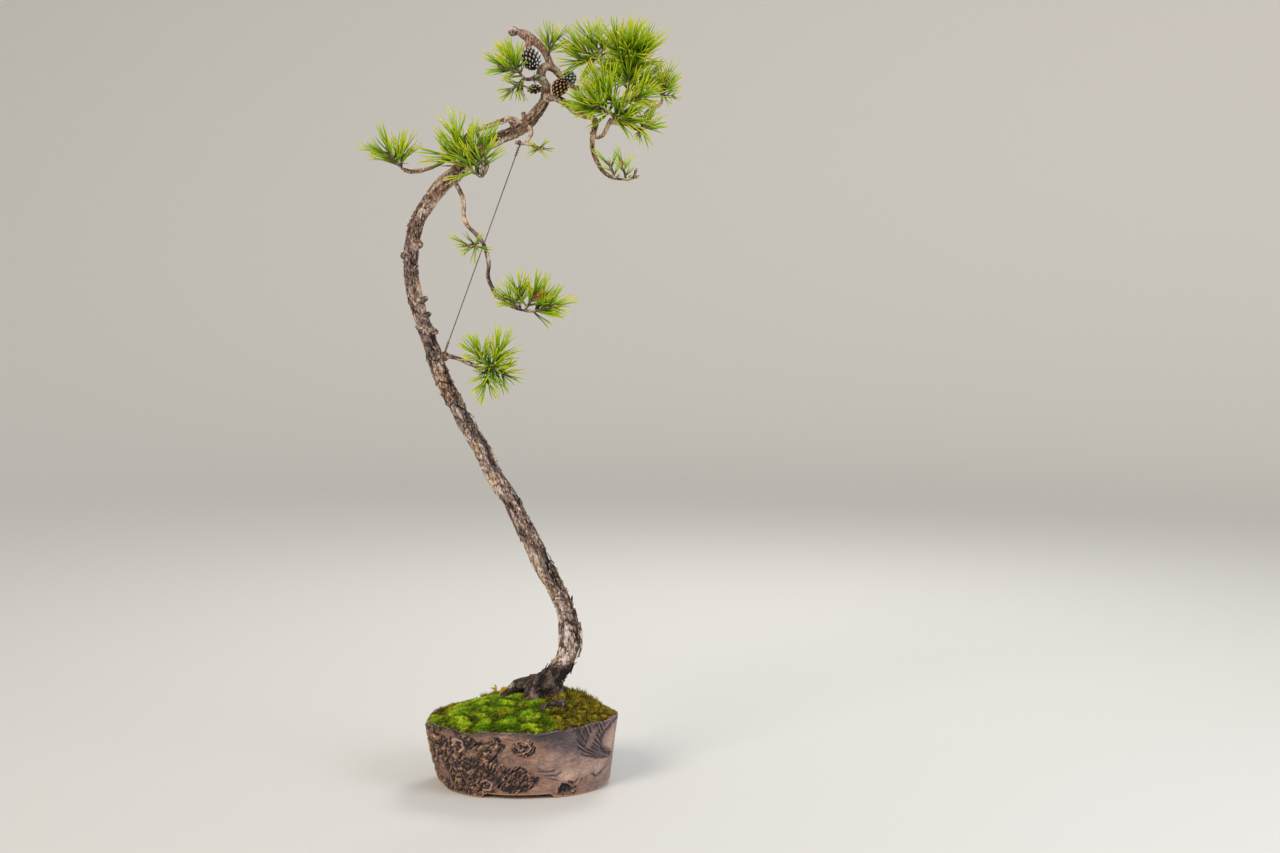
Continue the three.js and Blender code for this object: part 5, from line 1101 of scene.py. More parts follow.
# Every spray has shoots: a route, the share of full needle length, how full it is, and where along
# it the needles start
SPRAYS = {
    "spray_far_left": [
        {"axis": [[-122.6, -19.1, 665.2], [-126, -19.8, 668], [-131, -21, 676], [-138, -22, 685]]},
        {"axis": [[-125, -19.5, 668], [-124.5, -15, 678], [-124, -10, 687]], "reach": 0.9},
        {"axis": [[-127, -20, 669], [-132, -28, 675], [-140, -34, 679]], "reach": 0.85},
    ],
    "spray_left": [
        {"axis": [[-36.2, -30.7, 659], [-38, -34, 656.5], [-46, -35, 661], [-55, -32, 671], [-66, -28, 685]]},
        {"axis": [[-41, -35, 658], [-44, -36, 672], [-53, -35, 692]]},
        {"axis": [[-57, -31, 674], [-67, -33, 677], [-77, -36, 679]]},
        {"axis": [[-38.5, -35, 657], [-36.5, -39, 673], [-32, -42, 685]]},
        {"axis": [[-58, -30, 676], [-63, -24, 690], [-67, -18, 703]]},
        {"axis": [[-46, -35.5, 678], [-42, -27, 688], [-37, -19, 697]],
         "reach": 0.74, "from": 0.3, "fill": 0.6},
    ],
    "spray_under": [
        {"axis": [[20.6, -12.2, 688.9], [25, -14, 688]], "reach": 0.46, "fill": 1},
        {"axis": [[22.5, -13.4, 688.4], [19, -18, 687]], "reach": 0.42, "fill": 1},
    ],
    "spray_cone_side": [
        {"axis": [[7.4, -16.9, 759.9], [2, -20, 766], [-10, -23, 782]], "reach": 0.86},
        {"axis": [[5.6, -18, 761], [-1, -21, 754], [-9, -24, 747]], "reach": 0.62},
        {"axis": [[5, -18.4, 761.5], [4.4, -23, 753], [4.6, -26, 746]], "reach": 0.4, "fill": 0.5},
        {"axis": [[2, -20, 766], [-2, -14, 775], [-7, -8, 786]], "reach": 0.8},
        {"axis": [[1, -20.5, 767], [-9, -28, 769], [-17, -33, 771]], "reach": 0.8},
        {"axis": [[14, -12.6, 761], [17, -13.4, 760.4], [19, -12.6, 761]],
         "reach": 0.22, "fill": 0.6, "tone": -1.2},
    ],
    "spray_stub": [
        {"axis": [[30.6, -8.6, 786.4], [33, -12, 791], [31, -14, 801]], "reach": 0.72},
        {"axis": [[32, -10.8, 789], [36, -9, 796], [39, -7, 804]], "reach": 0.7},
    ],
    "spray_top_left": [
        {"axis": [[86.8, 10.9, 783.6], [84, 11, 787], [74, 9, 790], [63, 6, 797]]},
        {"axis": [[84.5, 11, 786.5], [75, 4, 783], [63, -2, 781]], "reach": 0.9},
        {"axis": [[85.6, 11, 785.4], [88, 12, 795], [88, 13, 803]], "reach": 0.95},
        {"axis": [[86.5, 11.5, 789], [81, 20, 800], [77, 26, 808]]},
    ],
    "spray_crown": [
        {"axis": [[99.4, -14.9, 721], [104, -13, 728], [110, -10, 738], [115, -7, 748], [117, -4, 757],
         [116, -1, 767], [115, 0, 780], [117, 0, 792]], "from": 0.5},
        {"axis": [[100.4, -15, 723], [91, -22, 727], [80, -29, 735]]},
        {"axis": [[93, -20.5, 726], [82, -31, 729], [71, -36, 732]], "reach": 0.9},
        {"axis": [[105, -12.6, 730], [97, -22, 740], [88, -29, 751]]},
        {"axis": [[109, -10.5, 736], [121, -17, 739], [132, -24, 743]], "reach": 0.9},
        {"axis": [[115, -7, 747], [127, -2, 755], [136, 4, 762]], "reach": 0.9},
        {"axis": [[116, -5, 752], [106, 4, 764], [99, 12, 772]], "from": 0.4},
        {"axis": [[117, -4, 757], [118, 14, 767], [119, 27, 778]]},
        {"axis": [[116, -1, 768], [126, -7, 780], [134, -11, 792]]},
        {"axis": [[115, 0, 774], [108, -9, 785], [104, -16, 797]]},
        {"axis": [[115, 0, 779], [119, 13, 790], [124, 22, 800]]},
        {"axis": [[115, 0, 783], [118, -14, 789], [120, -24, 796]]},
        {"axis": [[99.6, -15.2, 718], [108, -22, 717.5], [118, -28, 716]], "reach": 0.95},
        {"axis": [[99.6, -15.4, 718], [104, -24, 722], [110, -32, 725]], "reach": 0.9},
    ],
    "spray_low_right": [
        {"axis": [[126.5, -22.1, 706.7], [132, -24, 709], [138, -25, 712]], "reach": 0.84},
        {"axis": [[129.4, -23, 708], [133, -16, 709], [138, -7, 712]], "reach": 0.8},
        {"axis": [[129, -23, 707.6], [128, -27, 702]], "reach": 0.35, "fill": 0.5},
    ],
    "spray_right": [
        {"axis": [[153.1, 6.1, 742.7], [152, 6, 751], [152, 7, 761]], "reach": 0.84},
        {"axis": [[153, 6, 746], [156, 0, 752], [158, -5, 760]], "reach": 0.66},
        {"axis": [[153, 6, 746], [156, 13, 752], [157, 19, 758]], "reach": 0.66},
        {"axis": [[153, 6, 745.6], [159, 5, 745], [164, 4, 744]], "reach": 0.4, "fill": 0.5},
    ],
    "spray_drop": [
        {"axis": [[98.5, -21, 656.2], [107, -21, 655], [118, -21, 655], [124, -21, 657]], "reach": 0.2,
         "fill": 0.1},
        {"axis": [[102, -21, 655.6], [99, -23, 665], [96, -25, 671]], "reach": 0.7, "fill": 0.6},
        {"axis": [[114, -21, 655], [112, -23, 664], [111, -24, 670]], "reach": 0.7, "fill": 0.6},
        {"axis": [[122, -21, 656.5], [124, -21, 662]], "fill": 0},
    ],
    "spray_hanging_side": [
        {"axis": [[-42.6, -23.6, 587.6], [-48, -26, 586], [-56, -29, 584]], "reach": 0.66, "fill": 0.7},
        {"axis": [[-46, -25.2, 586.5], [-45, -31, 584], [-43, -37, 583]], "reach": 0.6, "fill": 0.6},
    ],
    "spray_hanging_end": [
        {"axis": [[-3.5, -23.1, 517.6], [8, -22, 515], [19, -20, 515], [28, -18, 516]],
         "from": 0.6, "reach": 0.9},
        {"axis": [[1, -22.8, 516.6], [1, -26, 527], [1, -29, 538]], "reach": 0.8},
        {"axis": [[2, -22.8, 516.4], [-6, -28, 524], [-13, -32, 529]], "reach": 0.66},
        {"axis": [[6, -22, 515.5], [13, -26, 526], [18, -30, 536]], "reach": 0.84},
        {"axis": [[20, -20, 515], [30, -24, 519], [38, -28, 521]], "reach": 0.82},
        {"axis": [[19, -20, 515], [22, -12, 525], [25, -5, 532]], "reach": 0.8},
    ],
    "spray_low": [
        {"axis": [[-34.4, -23.5, 453], [-31, -31, 455], [-27, -46, 457]], "reach": 0.9},
        {"axis": [[-32.4, -27.6, 453.6], [-25, -30, 464], [-20, -32, 474]], "reach": 0.84},
        {"axis": [[-32.6, -27.4, 453.6], [-22, -31, 450], [-14, -35, 448]], "reach": 0.78},
        {"axis": [[-32.6, -27.4, 453.4], [-34, -32, 444], [-36, -36, 436]], "reach": 0.78},
        {"axis": [[-32.8, -27.2, 453.8], [-40, -31, 464], [-45, -35, 472]], "reach": 0.78},
    ],
}


def needle_tree():
    """Node tree: bundles of three curved needles, tapered at the tip, one bundle at each point."""
    add, get = new_tree("Needle bundles", Needle_Length=("Float", 0.034), Needle_Width=("Float", 0.0013),
                        Curve=("Float", 0.1), Splay=("Float", 0.12), Sway=("Float", 0.006), Seed=("Int", 1))
    bow = add("ShaderNodeCombineXYZ", {"X": get["Curve"], "Z": 1.0})
    middle = add("ShaderNodeCombineXYZ", {"Z": 0.5})
    line = add("GeometryNodeCurveQuadraticBezier", {
        "Resolution": 4, "Start": (0, 0, 0), "Middle": middle, "End": bow})
    share = add("GeometryNodeSplineParameter")
    taper = add("ShaderNodeMapRange", [share, 0.75, 1.0, 1.0, 0.4])
    marked = add("GeometryNodeStoreNamedAttribute", {"Geometry": line, "Name": "along", "Value": share},
                 data_type="FLOAT", domain="POINT")
    half = add("ShaderNodeMath", [get["Needle Width"], 2.0], operation="DIVIDE")
    radius = add("ShaderNodeMath", [half, get["Needle Length"]], operation="DIVIDE")
    profile = add("GeometryNodeCurvePrimitiveCircle", {"Resolution": 3, "Radius": radius}, mode="RADIUS")
    needle = add("GeometryNodeCurveToMesh", {
        "Curve": marked, "Profile Curve": profile, "Scale": taper, "Fill Caps": True})
    ring = add("GeometryNodeMeshCircle", {"Vertices": 3, "Radius": 0.012})
    third = add("ShaderNodeMath", [add("GeometryNodeInputIndex"), 2.0944], operation="MULTIPLY")
    splay = add("FunctionNodeRandomValue", {2: 0.4, 3: 1.6, "Seed": 4}, data_type="FLOAT")
    open_by = add("ShaderNodeMath", [get["Splay"], splay], operation="MULTIPLY")
    pose = add("FunctionNodeEulerToRotation", [add("ShaderNodeCombineXYZ", {"Y": open_by, "Z": third})])
    bundle = add("GeometryNodeInstanceOnPoints", {"Points": ring, "Instance": needle, "Rotation": pose})
    bundle = add("GeometryNodeRealizeInstances", [bundle])
    lean = add("GeometryNodeInputNamedAttribute", {"Name": "lean"}, data_type="FLOAT_VECTOR")
    reach = add("GeometryNodeInputNamedAttribute", {"Name": "reach"}, data_type="FLOAT")
    aim = add("FunctionNodeAlignRotationToVector", {"Vector": lean}, axis="Z")
    spin = add("FunctionNodeRandomValue", {0: (0, 0, 0), 1: (0, 0, 6.283), "Seed": get["Seed"]},
               data_type="FLOAT_VECTOR")
    aim = add("FunctionNodeRotateRotation", [aim, add("FunctionNodeEulerToRotation", [spin])],
              rotation_space="LOCAL")
    long = add("ShaderNodeMath", [reach, get["Needle Length"]], operation="MULTIPLY")
    stout = add("ShaderNodeMath", [reach, 0.6, 0.4], operation="MULTIPLY_ADD")
    side = add("ShaderNodeMath", [stout, get["Needle Length"]], operation="MULTIPLY")
    size = add("ShaderNodeCombineXYZ", [side, side, long])
    grown = add("GeometryNodeInstanceOnPoints", {
        "Points": get["Geometry"], "Instance": bundle, "Rotation": aim, "Scale": size})
    real = add("GeometryNodeRealizeInstances", [grown])
    # A slow breeze of bends, strongest at the tips
    field = add("ShaderNodeTexNoise", {"Scale": 75.0, "Detail": 1.0}).outputs["Color"]
    push = add("ShaderNodeVectorMath", [field, (0.5, 0.5, 0.5)], operation="SUBTRACT")
    way = add("GeometryNodeInputNamedAttribute", {"Name": "along"}, data_type="FLOAT")
    square = add("ShaderNodeMath", [way, 2.0], operation="POWER")
    strength = add("ShaderNodeMath", [square, get["Sway"]], operation="MULTIPLY")
    shift = add("ShaderNodeVectorMath", {0: push, "Scale": strength}, operation="SCALE")
    bent = add("GeometryNodeSetPosition", {"Geometry": real, "Offset": shift})
    return end_tree(add, get, add("GeometryNodeSetShadeSmooth", {"Geometry": bent, "Shade Smooth": True}))


def pine_needles(foliage):
    """Living pine needles: waxy and a little translucent, so they gleam softly; deep green at the
    sheath, yellow-green along their length and yellow at the tips, a few dried to orange."""
    material, add, place, shader = new_material("pine_needle_wax")
    along, tone, dead = (add("ShaderNodeAttribute", attribute_name=key).outputs["Fac"]
                         for key in ("along", "tone", "dead"))
    cloud = add("ShaderNodeTexNoise", {"Vector": place, "Scale": 60.0, "Detail": 3.0})
    shifted = add("ShaderNodeMath", [tone, 0.5, along], operation="MULTIPLY_ADD")
    shifted = add("ShaderNodeMath", [shifted, 0.45], operation="SUBTRACT")
    level = add("ShaderNodeMath", [cloud, 0.5, shifted], operation="MULTIPLY_ADD", use_clamp=True)
    body = add("ShaderNodeValToRGB", [level], [
        (0.0, foliage.sheath_colour), (0.3, foliage.needle_colour), (0.72, foliage.tip_colour),
        (1.0, "#d8d82c")])
    dried = add("ShaderNodeMix", {"Factor": dead, 6: body, 7: "#b8642a"}, data_type="RGBA")
    # The sheath at the foot of a bundle is a short papery brown tube
    papery = add("ShaderNodeMapRange", [along, 0.04, 0.12, 0.75, 0.0])
    sheath = add("ShaderNodeMix", {"Factor": papery, 6: dried, 7: "#8a6a3a"}, data_type="RGBA")
    # Stomata in fine lines would be too small to see, so 0.6 mm streaks stand for them
    streak = add("ShaderNodeTexNoise", {"Vector": place, "Scale": 1500.0, "Detail": 1.0})
    bump = add("ShaderNodeBump", {"Height": streak, "Strength": 0.15, "Distance": 0.0003})
    plug(shader, {"Base Color": sheath, "Roughness": 0.5, "Specular IOR Level": 0.22, "Normal": bump})
    return material


def needle_points(shoot, spacing, rng):
    """Where the bundles of a shoot stand, which way they lean, and how long and bright they are."""
    facts = {"spot": [], "lean": [], "reach": [], "tone": [], "dead": []}
    fill, first = shoot.get("fill", 0.8), shoot.get("from", 0.22)
    if fill == 0:
        return facts
    path, along = smooth_path(shoot["axis"], 0.5)
    tangents, normals, binormals = frames_along(path)
    count = max(5, int(along[-1] * (1 - first) / spacing * min(1, fill * 1.2)))
    turn = rng.random() * 6.28
    for i in range(count):
        share = first + (1 - first) * (i + 0.5 * rng.random()) / count
        row = min(len(path) - 1, int(share * (len(path) - 1)))
        t = (share - first) / (1 - first)
        opening = NEEDLE_OPENING["foot"] + (NEEDLE_OPENING["tip"] - NEEDLE_OPENING["foot"]) * t
        if t > 0.88:
            opening = NEEDLE_OPENING["end"] + 10 * rng.random()
        opening = math.radians(opening + NEEDLE_OPENING["jitter"] * (rng.random() * 2 - 1) * 1.6)
        turn += GOLDEN_TURN
        side = normals[row] * math.cos(turn) + binormals[row] * math.sin(turn)
        lean = tangents[row] * math.cos(opening) + side * math.sin(opening)
        lean[2] += NEEDLE_LIFT
        facts["spot"].append(path[row] + side * 1.1)
        facts["lean"].append(unit(lean))
        facts["reach"].append(shoot.get("reach", 1) * (0.84 + 0.26 * rng.random()) * (0.9 + 0.1 * t))
        facts["tone"].append(rng.random() * shoot.get("tone", 1))
        facts["dead"].append(1.0 if rng.random() < 0.012 else 0.0)
    return facts


class BonsaiFoliage(PropertyGroup):
    needle_length: FloatProperty(name="Needle length", description="Length of a full-grown needle",
                                 default=NEEDLE_LENGTH * MM, min=10 * MM, max=80 * MM, **LENGTH)
    needle_width: FloatProperty(name="Needle width", description="Width of a needle at its foot",
                                default=1.65 * MM, min=0.4 * MM, max=3 * MM, **LENGTH)
    sheath_colour: FloatVectorProperty(name="Foot of needles", description="Deep green near the sheath",
                                       default=linear("#3e6206")[:3], **COLOUR)
    needle_colour: FloatVectorProperty(name="Needles", description="Yellow-green of the needles' length",
                                       default=linear("#7ca30a")[:3], **COLOUR)
    tip_colour: FloatVectorProperty(name="Needle tips", description="Lighter yellow-green near the tips",
                                    default=linear("#adc814")[:3], **COLOUR)
    seed: IntProperty(name="Seed", description="Random seed of the needles", default=4, min=0)


class BONSAI_OT_needles(Operator):
    """Grow the needles of every spray, and the shoots and buds that carry them"""
    bl_idname = "bonsai.needles"
    bl_label = "Needles and shoots"

    def execute(self, context):
        foliage = context.scene.bonsai_foliage
        rng = np.random.default_rng(foliage.seed)
        wax = pine_needles(foliage)
        tree = needle_tree()
        stems = []
        for name, shoots in SPRAYS.items():
            grown = {}
            for shoot in shoots:
                for key, values in needle_points(shoot, BUSHY.get(name, BUNDLE_SPACING), rng).items():
                    grown.setdefault(key, []).extend(values)
                axis = [[*p, 1.45] for p in shoot["axis"]]
                axis[-1][3] = 1.15
                stems.append(wood_tube(axis, 1, 10, 1.2, 0.45, rng))
                before, tip = np.array(shoot["axis"][-2:], float)
                bud = [[*(tip + unit(tip - before) * reach), wide] for reach, wide in BUD_SHAPE]
                stems.append(wood_tube(bud, 3, 9, 0.7, 0.25, rng))
            spots = grown.pop("spot")
            piece = mesh_piece(name.replace("spray", "needles"), spots, [], wax, grown)
            grow_nodes(piece, tree, {
                "Needle Length": foliage.needle_length, "Needle Width": foliage.needle_width, "Curve": 0.05,
                "Splay": 0.06, "Sway": 7 * MM, "Seed": foliage.seed, "Material": wax})
            settle(piece, "needles", name)
        points, faces, facts = join_parts(stems)
        facts["pale"] = np.zeros(len(points))
        bark = bpy.data.materials["weathered_pine_bark"]
        settle(mesh_piece("shoots_and_buds", points, faces, bark, facts), "bark")
        return {"FINISHED"}


# Cones and loose bark
# Each cone: where it sits, the way to its tip, size, how many scales, how grey and how rusty they are
CONES = [
    {"name": "cone_upper", "seat": [11.4, -11.8, 791], "toward": [0.2, -0.6, -0.76], "long": 26, "wide": 23.5,
     "scales": 80, "grey": 0.1},
    {"name": "cone_front", "seat": [38, -7.3, 745.8], "toward": [0.58, -0.46, 0.68], "long": 20.5, "wide": 19,
     "scales": 64, "grey": 0.0, "rust": 0.8},
    {"name": "cone_grey", "seat": [48, 12.4, 761.4], "toward": [0.43, 0.8, 0.4], "long": 19, "wide": 18.5,
     "scales": 60, "grey": 1.0},
    {"name": "cone_young", "seat": [24, -4.5, 752], "toward": [-0.85, -0.42, -0.12], "long": 16.5, "wide": 11.5,
     "scales": 34, "grey": 0.0, "rust": 1.0},
]


def placed_tree():
    """Node tree: copies of a small form at marked points, each turned to its own two directions."""
    add, get = new_tree("Placed pieces", Form=("Object", None), Size=("Float", 1.0), Roll=("Float", 0.1),
                        Seed=("Int", 1))
    form = add("GeometryNodeObjectInfo", {"Object": get["Form"]}).outputs["Geometry"]
    way, face = (add("GeometryNodeInputNamedAttribute", {"Name": key}, data_type="FLOAT_VECTOR")
                 for key in ("way", "face"))
    grow, spot = (add("GeometryNodeInputNamedAttribute", {"Name": key}, data_type="FLOAT")
                  for key in ("size", "spot"))
    aim = add("FunctionNodeAlignRotationToVector", {"Vector": face}, axis="Z")
    aim = add("FunctionNodeAlignRotationToVector", {"Rotation": aim, "Vector": way}, axis="Y", pivot_axis="Z")
    low = add("ShaderNodeMath", [get["Roll"], -1.0], operation="MULTIPLY")
    roll = add("FunctionNodeRandomValue", {2: low, 3: get["Roll"], "Seed": get["Seed"]}, data_type="FLOAT")
    turn = add("FunctionNodeEulerToRotation", [add("ShaderNodeCombineXYZ", [roll, roll, roll])])
    aim = add("FunctionNodeRotateRotation", [aim, turn], rotation_space="LOCAL")
    size = add("ShaderNodeMath", [grow, get["Size"]], operation="MULTIPLY")
    marked = add("FunctionNodeCompare", [spot, 0.5], data_type="FLOAT", operation="GREATER_THAN")
    copies = add("GeometryNodeInstanceOnPoints", {
        "Points": get["Geometry"], "Selection": marked, "Instance": form, "Rotation": aim, "Scale": size})
    body = add("GeometryNodeDeleteGeometry", [get["Geometry"], marked], domain="POINT")
    return end_tree(add, get, body, copies)


def small_form(name, points, faces, material, facts):
    """A small form that is copied to many places; it stands at the origin and is removed afterwards."""
    return mesh_piece(name, np.asarray(points, float) - POT_MIDDLE / MM, faces, material, facts)


def drop_form(form):
    """Removes a form once its copies are made."""
    mesh = form.data
    bpy.data.objects.remove(form)
    bpy.data.meshes.remove(mesh)


def cone_scale(material):
    """One woody cone scale: a lozenge shield with a ridge and a blunt point, on a short wedge."""
    turns = [k * math.pi / 4 for k in range(8)]
    outline = np.array([[2.1 * math.cos(turn), 2.6 * math.sin(turn), 0] for turn in turns])
    outline[1::2] *= 0.85
    inner = outline * [0.26, 0.66, 1] + [0, 0, 1.1]
    back = outline * [0.72, 0.72, 1] + [0, -0.2, -1.3]
    points = np.vstack([outline, inner, back, [[0, -0.3, 1.9], [0, -0.4, -4.6]]])
    faces = []
    for k in range(8):
        n = (k + 1) % 8
        faces += [[k, n, 8 + n, 8 + k], [8 + k, 8 + n, 24], [n, k, 16 + k, 16 + n], [16 + n, 16 + k, 25]]
    # Crest: dark on the shield's outline and back, painted shade between the scales, and light on the ridge and
    # point, partly painted highlight
    crest = np.r_[np.zeros(8), np.full(8, 0.62), np.zeros(8), 0.95, 0.0]
    return small_form("cone_scale", points, faces, material, {"crest": crest, "grey": np.zeros(26)})


def cone_wood():
    """Old closed pine cones: woody scales baked brown by the sun, pale tan on the raised points, partly
    weathering and partly painted highlight, with painted shade dark between them, the oldest one grey with
    lichen; dry and matte."""
    material, add, place, shader = new_material("weathered_cone_wood")
    crest, aged, rusty = (add("ShaderNodeAttribute", attribute_name=key).outputs["Fac"]
                          for key in ("crest", "aged", "rust"))
    grain = add("ShaderNodeTexNoise", {"Vector": place, "Scale": 420.0, "Detail": 4.0, "Roughness": 0.65})
    raised = add("ShaderNodeMath", [crest, 0.25], operation="SUBTRACT")
    level = add("ShaderNodeMath", [grain, 0.5, raised], operation="MULTIPLY_ADD", use_clamp=True)
    brown = add("ShaderNodeValToRGB", [level], [
        (0.1, "#0f0908"), (0.36, "#21160f"), (0.52, "#66503e"), (0.7, "#c3ad92"), (0.92, "#efe4d0")])
    rust = add("ShaderNodeValToRGB", [level], [
        (0.08, "#1d0f0a"), (0.3, "#4a281a"), (0.5, "#8c5a35"), (0.68, "#c99a66"), (0.92, "#ecd0a2")])
    brown = add("ShaderNodeMix", {"Factor": rusty, 6: brown, 7: rust}, data_type="RGBA")
    grey = add("ShaderNodeValToRGB", [level], [
        (0.06, "#3c3f3c"), (0.24, "#92968f"), (0.42, "#c3c9c5"), (0.85, "#f3f6f3")])
    patch = add("ShaderNodeTexNoise", {"Vector": place, "Scale": 90.0, "Detail": 2.0})
    older = add("ShaderNodeMath", [aged, 0.3], operation="SUBTRACT")
    share = add("ShaderNodeMath", [patch, 0.6, older], operation="MULTIPLY_ADD", use_clamp=True)
    mixed = add("ShaderNodeMix", {"Factor": share, 6: brown, 7: grey}, data_type="RGBA")
    bump = add("ShaderNodeBump", {"Height": grain, "Strength": 0.5, "Distance": 0.0005})
    plug(shader, {"Base Color": mixed, "Roughness": 0.7, "Specular IOR Level": 0.35, "Normal": bump})
    return material


class BonsaiCones(PropertyGroup):
    scale_size: FloatProperty(name="Scale size", description="Size of a cone scale over its drawn size",
                              default=1.0, min=0.5, max=1.5, subtype="FACTOR")
    flake_count: IntProperty(name="Loose flakes", description="How many flakes of bark stand off the wood",
                             default=900, min=0, max=4000)
    seed: IntProperty(name="Seed", description="Random seed of scales and flakes", default=6, min=0)


class BONSAI_OT_cones(Operator):
    """Build the cones, scale by scale"""
    bl_idname = "bonsai.cones"
    bl_label = "Cones"

    def execute(self, context):
        cones = context.scene.bonsai_cones
        rng = np.random.default_rng(cones.seed)
        wood = cone_wood()
        tree = placed_tree()
        form = cone_scale(wood)
        for cone in CONES:
            way = unit(cone["toward"])
            side, up = axes_round(way)
            seat = np.array(cone["seat"], float) + way * 0.4
            long, wide, count, rust = cone["long"], cone["wide"], cone["scales"], cone.get("rust", 0)

            def girth(t):
                """Radius of the cone where this share of its length lies behind."""
                return wide * 0.44 * math.sin(math.pi * (0.07 + 0.88 * t)) ** 0.7

            core = [[*(seat + way * long * t), girth(t) * 0.62] for t in (0.04, 0.2, 0.4, 0.6, 0.8, 0.93)]
            points, faces, _ = wood_tube(core, 2, 14, 2.0, 0.1, rng)
            spots, ways, fronts, sizes = [], [], [], []
            for i in range(count):
                t = ((i + 0.5) / count) ** 0.9
                out = side * math.cos(i * GOLDEN_TURN) + up * math.sin(i * GOLDEN_TURN)
                slope = (girth(min(1, t + 0.03)) - girth(max(0, t - 0.03))) / (0.06 * long)
                front = unit(out - way * slope * 0.8)
                spots.append(seat + way * long * t + out * girth(t) * 0.9)
                ways.append(way - front * (way @ front) + 1e-4)
                fronts.append(front + rng.normal(size=3) * 0.06)
                sizes.append((0.62 + 0.5 * math.sin(math.pi * min(1, t + 0.08)) ** 0.8) * wide / 21)
            n, m = len(points), len(spots)
            # Lichen greys the side that faces the sky and the right
            lichen = cone["grey"] + 0.75 * smooth(np.array(fronts) @ [0.93, -0.1, 0.35], 0.55, 0.9)
            piece = mesh_piece(cone["name"] + "_scales", np.vstack([points, spots]), faces, wood, {
                "crest": np.zeros(n + m), "aged": np.r_[np.full(n, cone["grey"]), lichen * (1 - 0.8 * rust)],
                "rust": np.full(n + m, rust), "spot": np.r_[np.zeros(n), np.ones(m)],
                "size": np.r_[np.ones(n), sizes], "way": np.vstack([np.ones((n, 3)), ways]),
                "face": np.vstack([np.ones((n, 3)), fronts])})
            grow_nodes(piece, tree, {
                "Form": form, "Size": cones.scale_size, "Roll": 0.1, "Seed": cones.seed, "Material": wood})
            # The fourth, this year's, is hardly bigger than a bud and stands for no solid of its own
            settle(piece, "cone_scales", *([] if cone["name"] == "cone_young" else [cone["name"]]))
        drop_form(form)
        return {"FINISHED"}


class BONSAI_OT_flakes(Operator):
    """Set loose flakes of bark on the trunk and the thicker branches"""
    bl_idname = "bonsai.flakes"
    bl_label = "Loose bark"

    def execute(self, context):
        cones = context.scene.bonsai_cones
        rng = np.random.default_rng(cones.seed + 1)
        bark = bpy.data.materials["weathered_pine_bark"]
        # A flake is a thin curved shard about 5 by 8 mm
        top = []
        for v in np.linspace(0, 1, 4):
            wide = 1.25 * (0.5 + 0.9 * math.sin(math.pi * min(1, v * 0.8 + 0.15)))
            for u in np.linspace(-1, 1, 4):
                curl = 0.3 - 0.45 * u * u + 1.5 * v * v
                top.append([u * wide + 0.4 * math.sin(9 * v), (v - 0.35) * 9.5, curl])
        points, faces = slab(top, [0, 0, 0.55], 4, 4)
        # Crest: lighter towards the curled free end, and darker on the underside as painted shade under the
        # flake
        crest = np.r_[np.full(4, 0.4), np.full(8, 0.55), np.full(4, 0.95), np.full(16, 0.34)]
        form = small_form("flake", points, faces, bark, {
            "crest": crest, "kind": np.zeros(32), "pale": np.zeros(32)})
        spots, ways, fronts, sizes, tints = [], [], [], [], []
        limbs = [(TRUNK, 0.84)] + [(BRANCHES[k][1], 0.04) for k in ("crownLoop", "rightBranch", "leftArch")]
        for route, share in limbs:
            path, _ = smooth_path(route, 1.0)
            tangents, normals, binormals = frames_along(path)
            for _ in range(int(cones.flake_count * share)):
                row = int(rng.random() * (len(path) - 1))
                # Few of them stand on the bare belly of the trunk
                if route is TRUNK and 129 < path[row, 2] < 172 and rng.random() < 0.75:
                    continue
                turn = rng.random() * 6.283
                out = normals[row] * math.cos(turn) + binormals[row] * math.sin(turn)
                way = tangents[row] * (1 if rng.random() < 0.5 else -1) + 0.35 * rng.normal(size=3)
                front = unit(out + 0.12 * rng.normal(size=3))
                spots.append(path[row, :3] + out * (path[row, 3] + 0.25))
                ways.append(unit(way - front * (way @ front)))
                fronts.append(front)
                sizes.append((0.35 + 0.65 * rng.random() ** 1.5) * min(1, path[row, 3] / 8 + 0.1))
                tints.append(rng.random())
        piece = mesh_piece("bark_flakes", spots, [], bark, {
            "way": ways, "face": fronts, "size": sizes, "tint": tints, "spot": np.ones(len(spots))})
        grow_nodes(piece, placed_tree(), {
            "Form": form, "Size": 1.0, "Roll": 0.15, "Seed": cones.seed, "Material": bark})
        settle(piece, "bark")
        drop_form(form)
        return {"FINISHED"}


# Guy wire, sleeve, seedling, soil and drain mesh
WIRE_RADIUS = 0.6
WIRE_TOP = {"at": [0.5, -7.6, 693.9], "along": [1, -0.14, -0.14], "hole": 2.1}
WIRE_FOOT = {"at": [-82, 0, 466], "along": [1, -0.4, 0.02], "hole": 4.4}
# The sleeve's section: how far from its axis, and how far along it
SLEEVE = [(3.35, -2.8), (3.5, -3.0), (3.9, -3.0), (4.05, -2.8), (4.05, -1.0), (3.98, 0.0), (4.05, 1.0),
          (4.05, 2.8), (3.9, 3.0), (3.5, 3.0), (3.35, 2.8), (3.3, 0.0)]


def plain_tube(route, sides, step):
    """A round wire along a route of x, y, z, radius."""
    path, _ = smooth_path(route, step)
    _, normals, binormals = frames_along(path)
    angle = np.linspace(0, 2 * math.pi, sides, endpoint=False)
    ring = path[:, None, :3] + path[:, None, 3:4] * (
        np.cos(angle)[None, :, None] * normals[:, None] + np.sin(angle)[None, :, None] * binormals[:, None])
    return np.vstack([ring.reshape(-1, 3), path[0, :3], path[-1, :3]]), tube_faces(len(path), sides), {}


def ring_of_wire(hook):
    """The wire's end, wound twice round a twig."""
    along = unit(hook["along"])
    side, up = axes_round(along)
    radius = hook["hole"] + WIRE_RADIUS
    route = []
    for t in np.linspace(0, 2, 37):
        turn = t * 2 * math.pi
        route.append([*(np.array(hook["at"]) + radius * (side * math.cos(turn) + up * math.sin(turn))
                        + along * (t - 1) * 1.35), WIRE_RADIUS])
    return plain_tube(route, 8, 0.7)


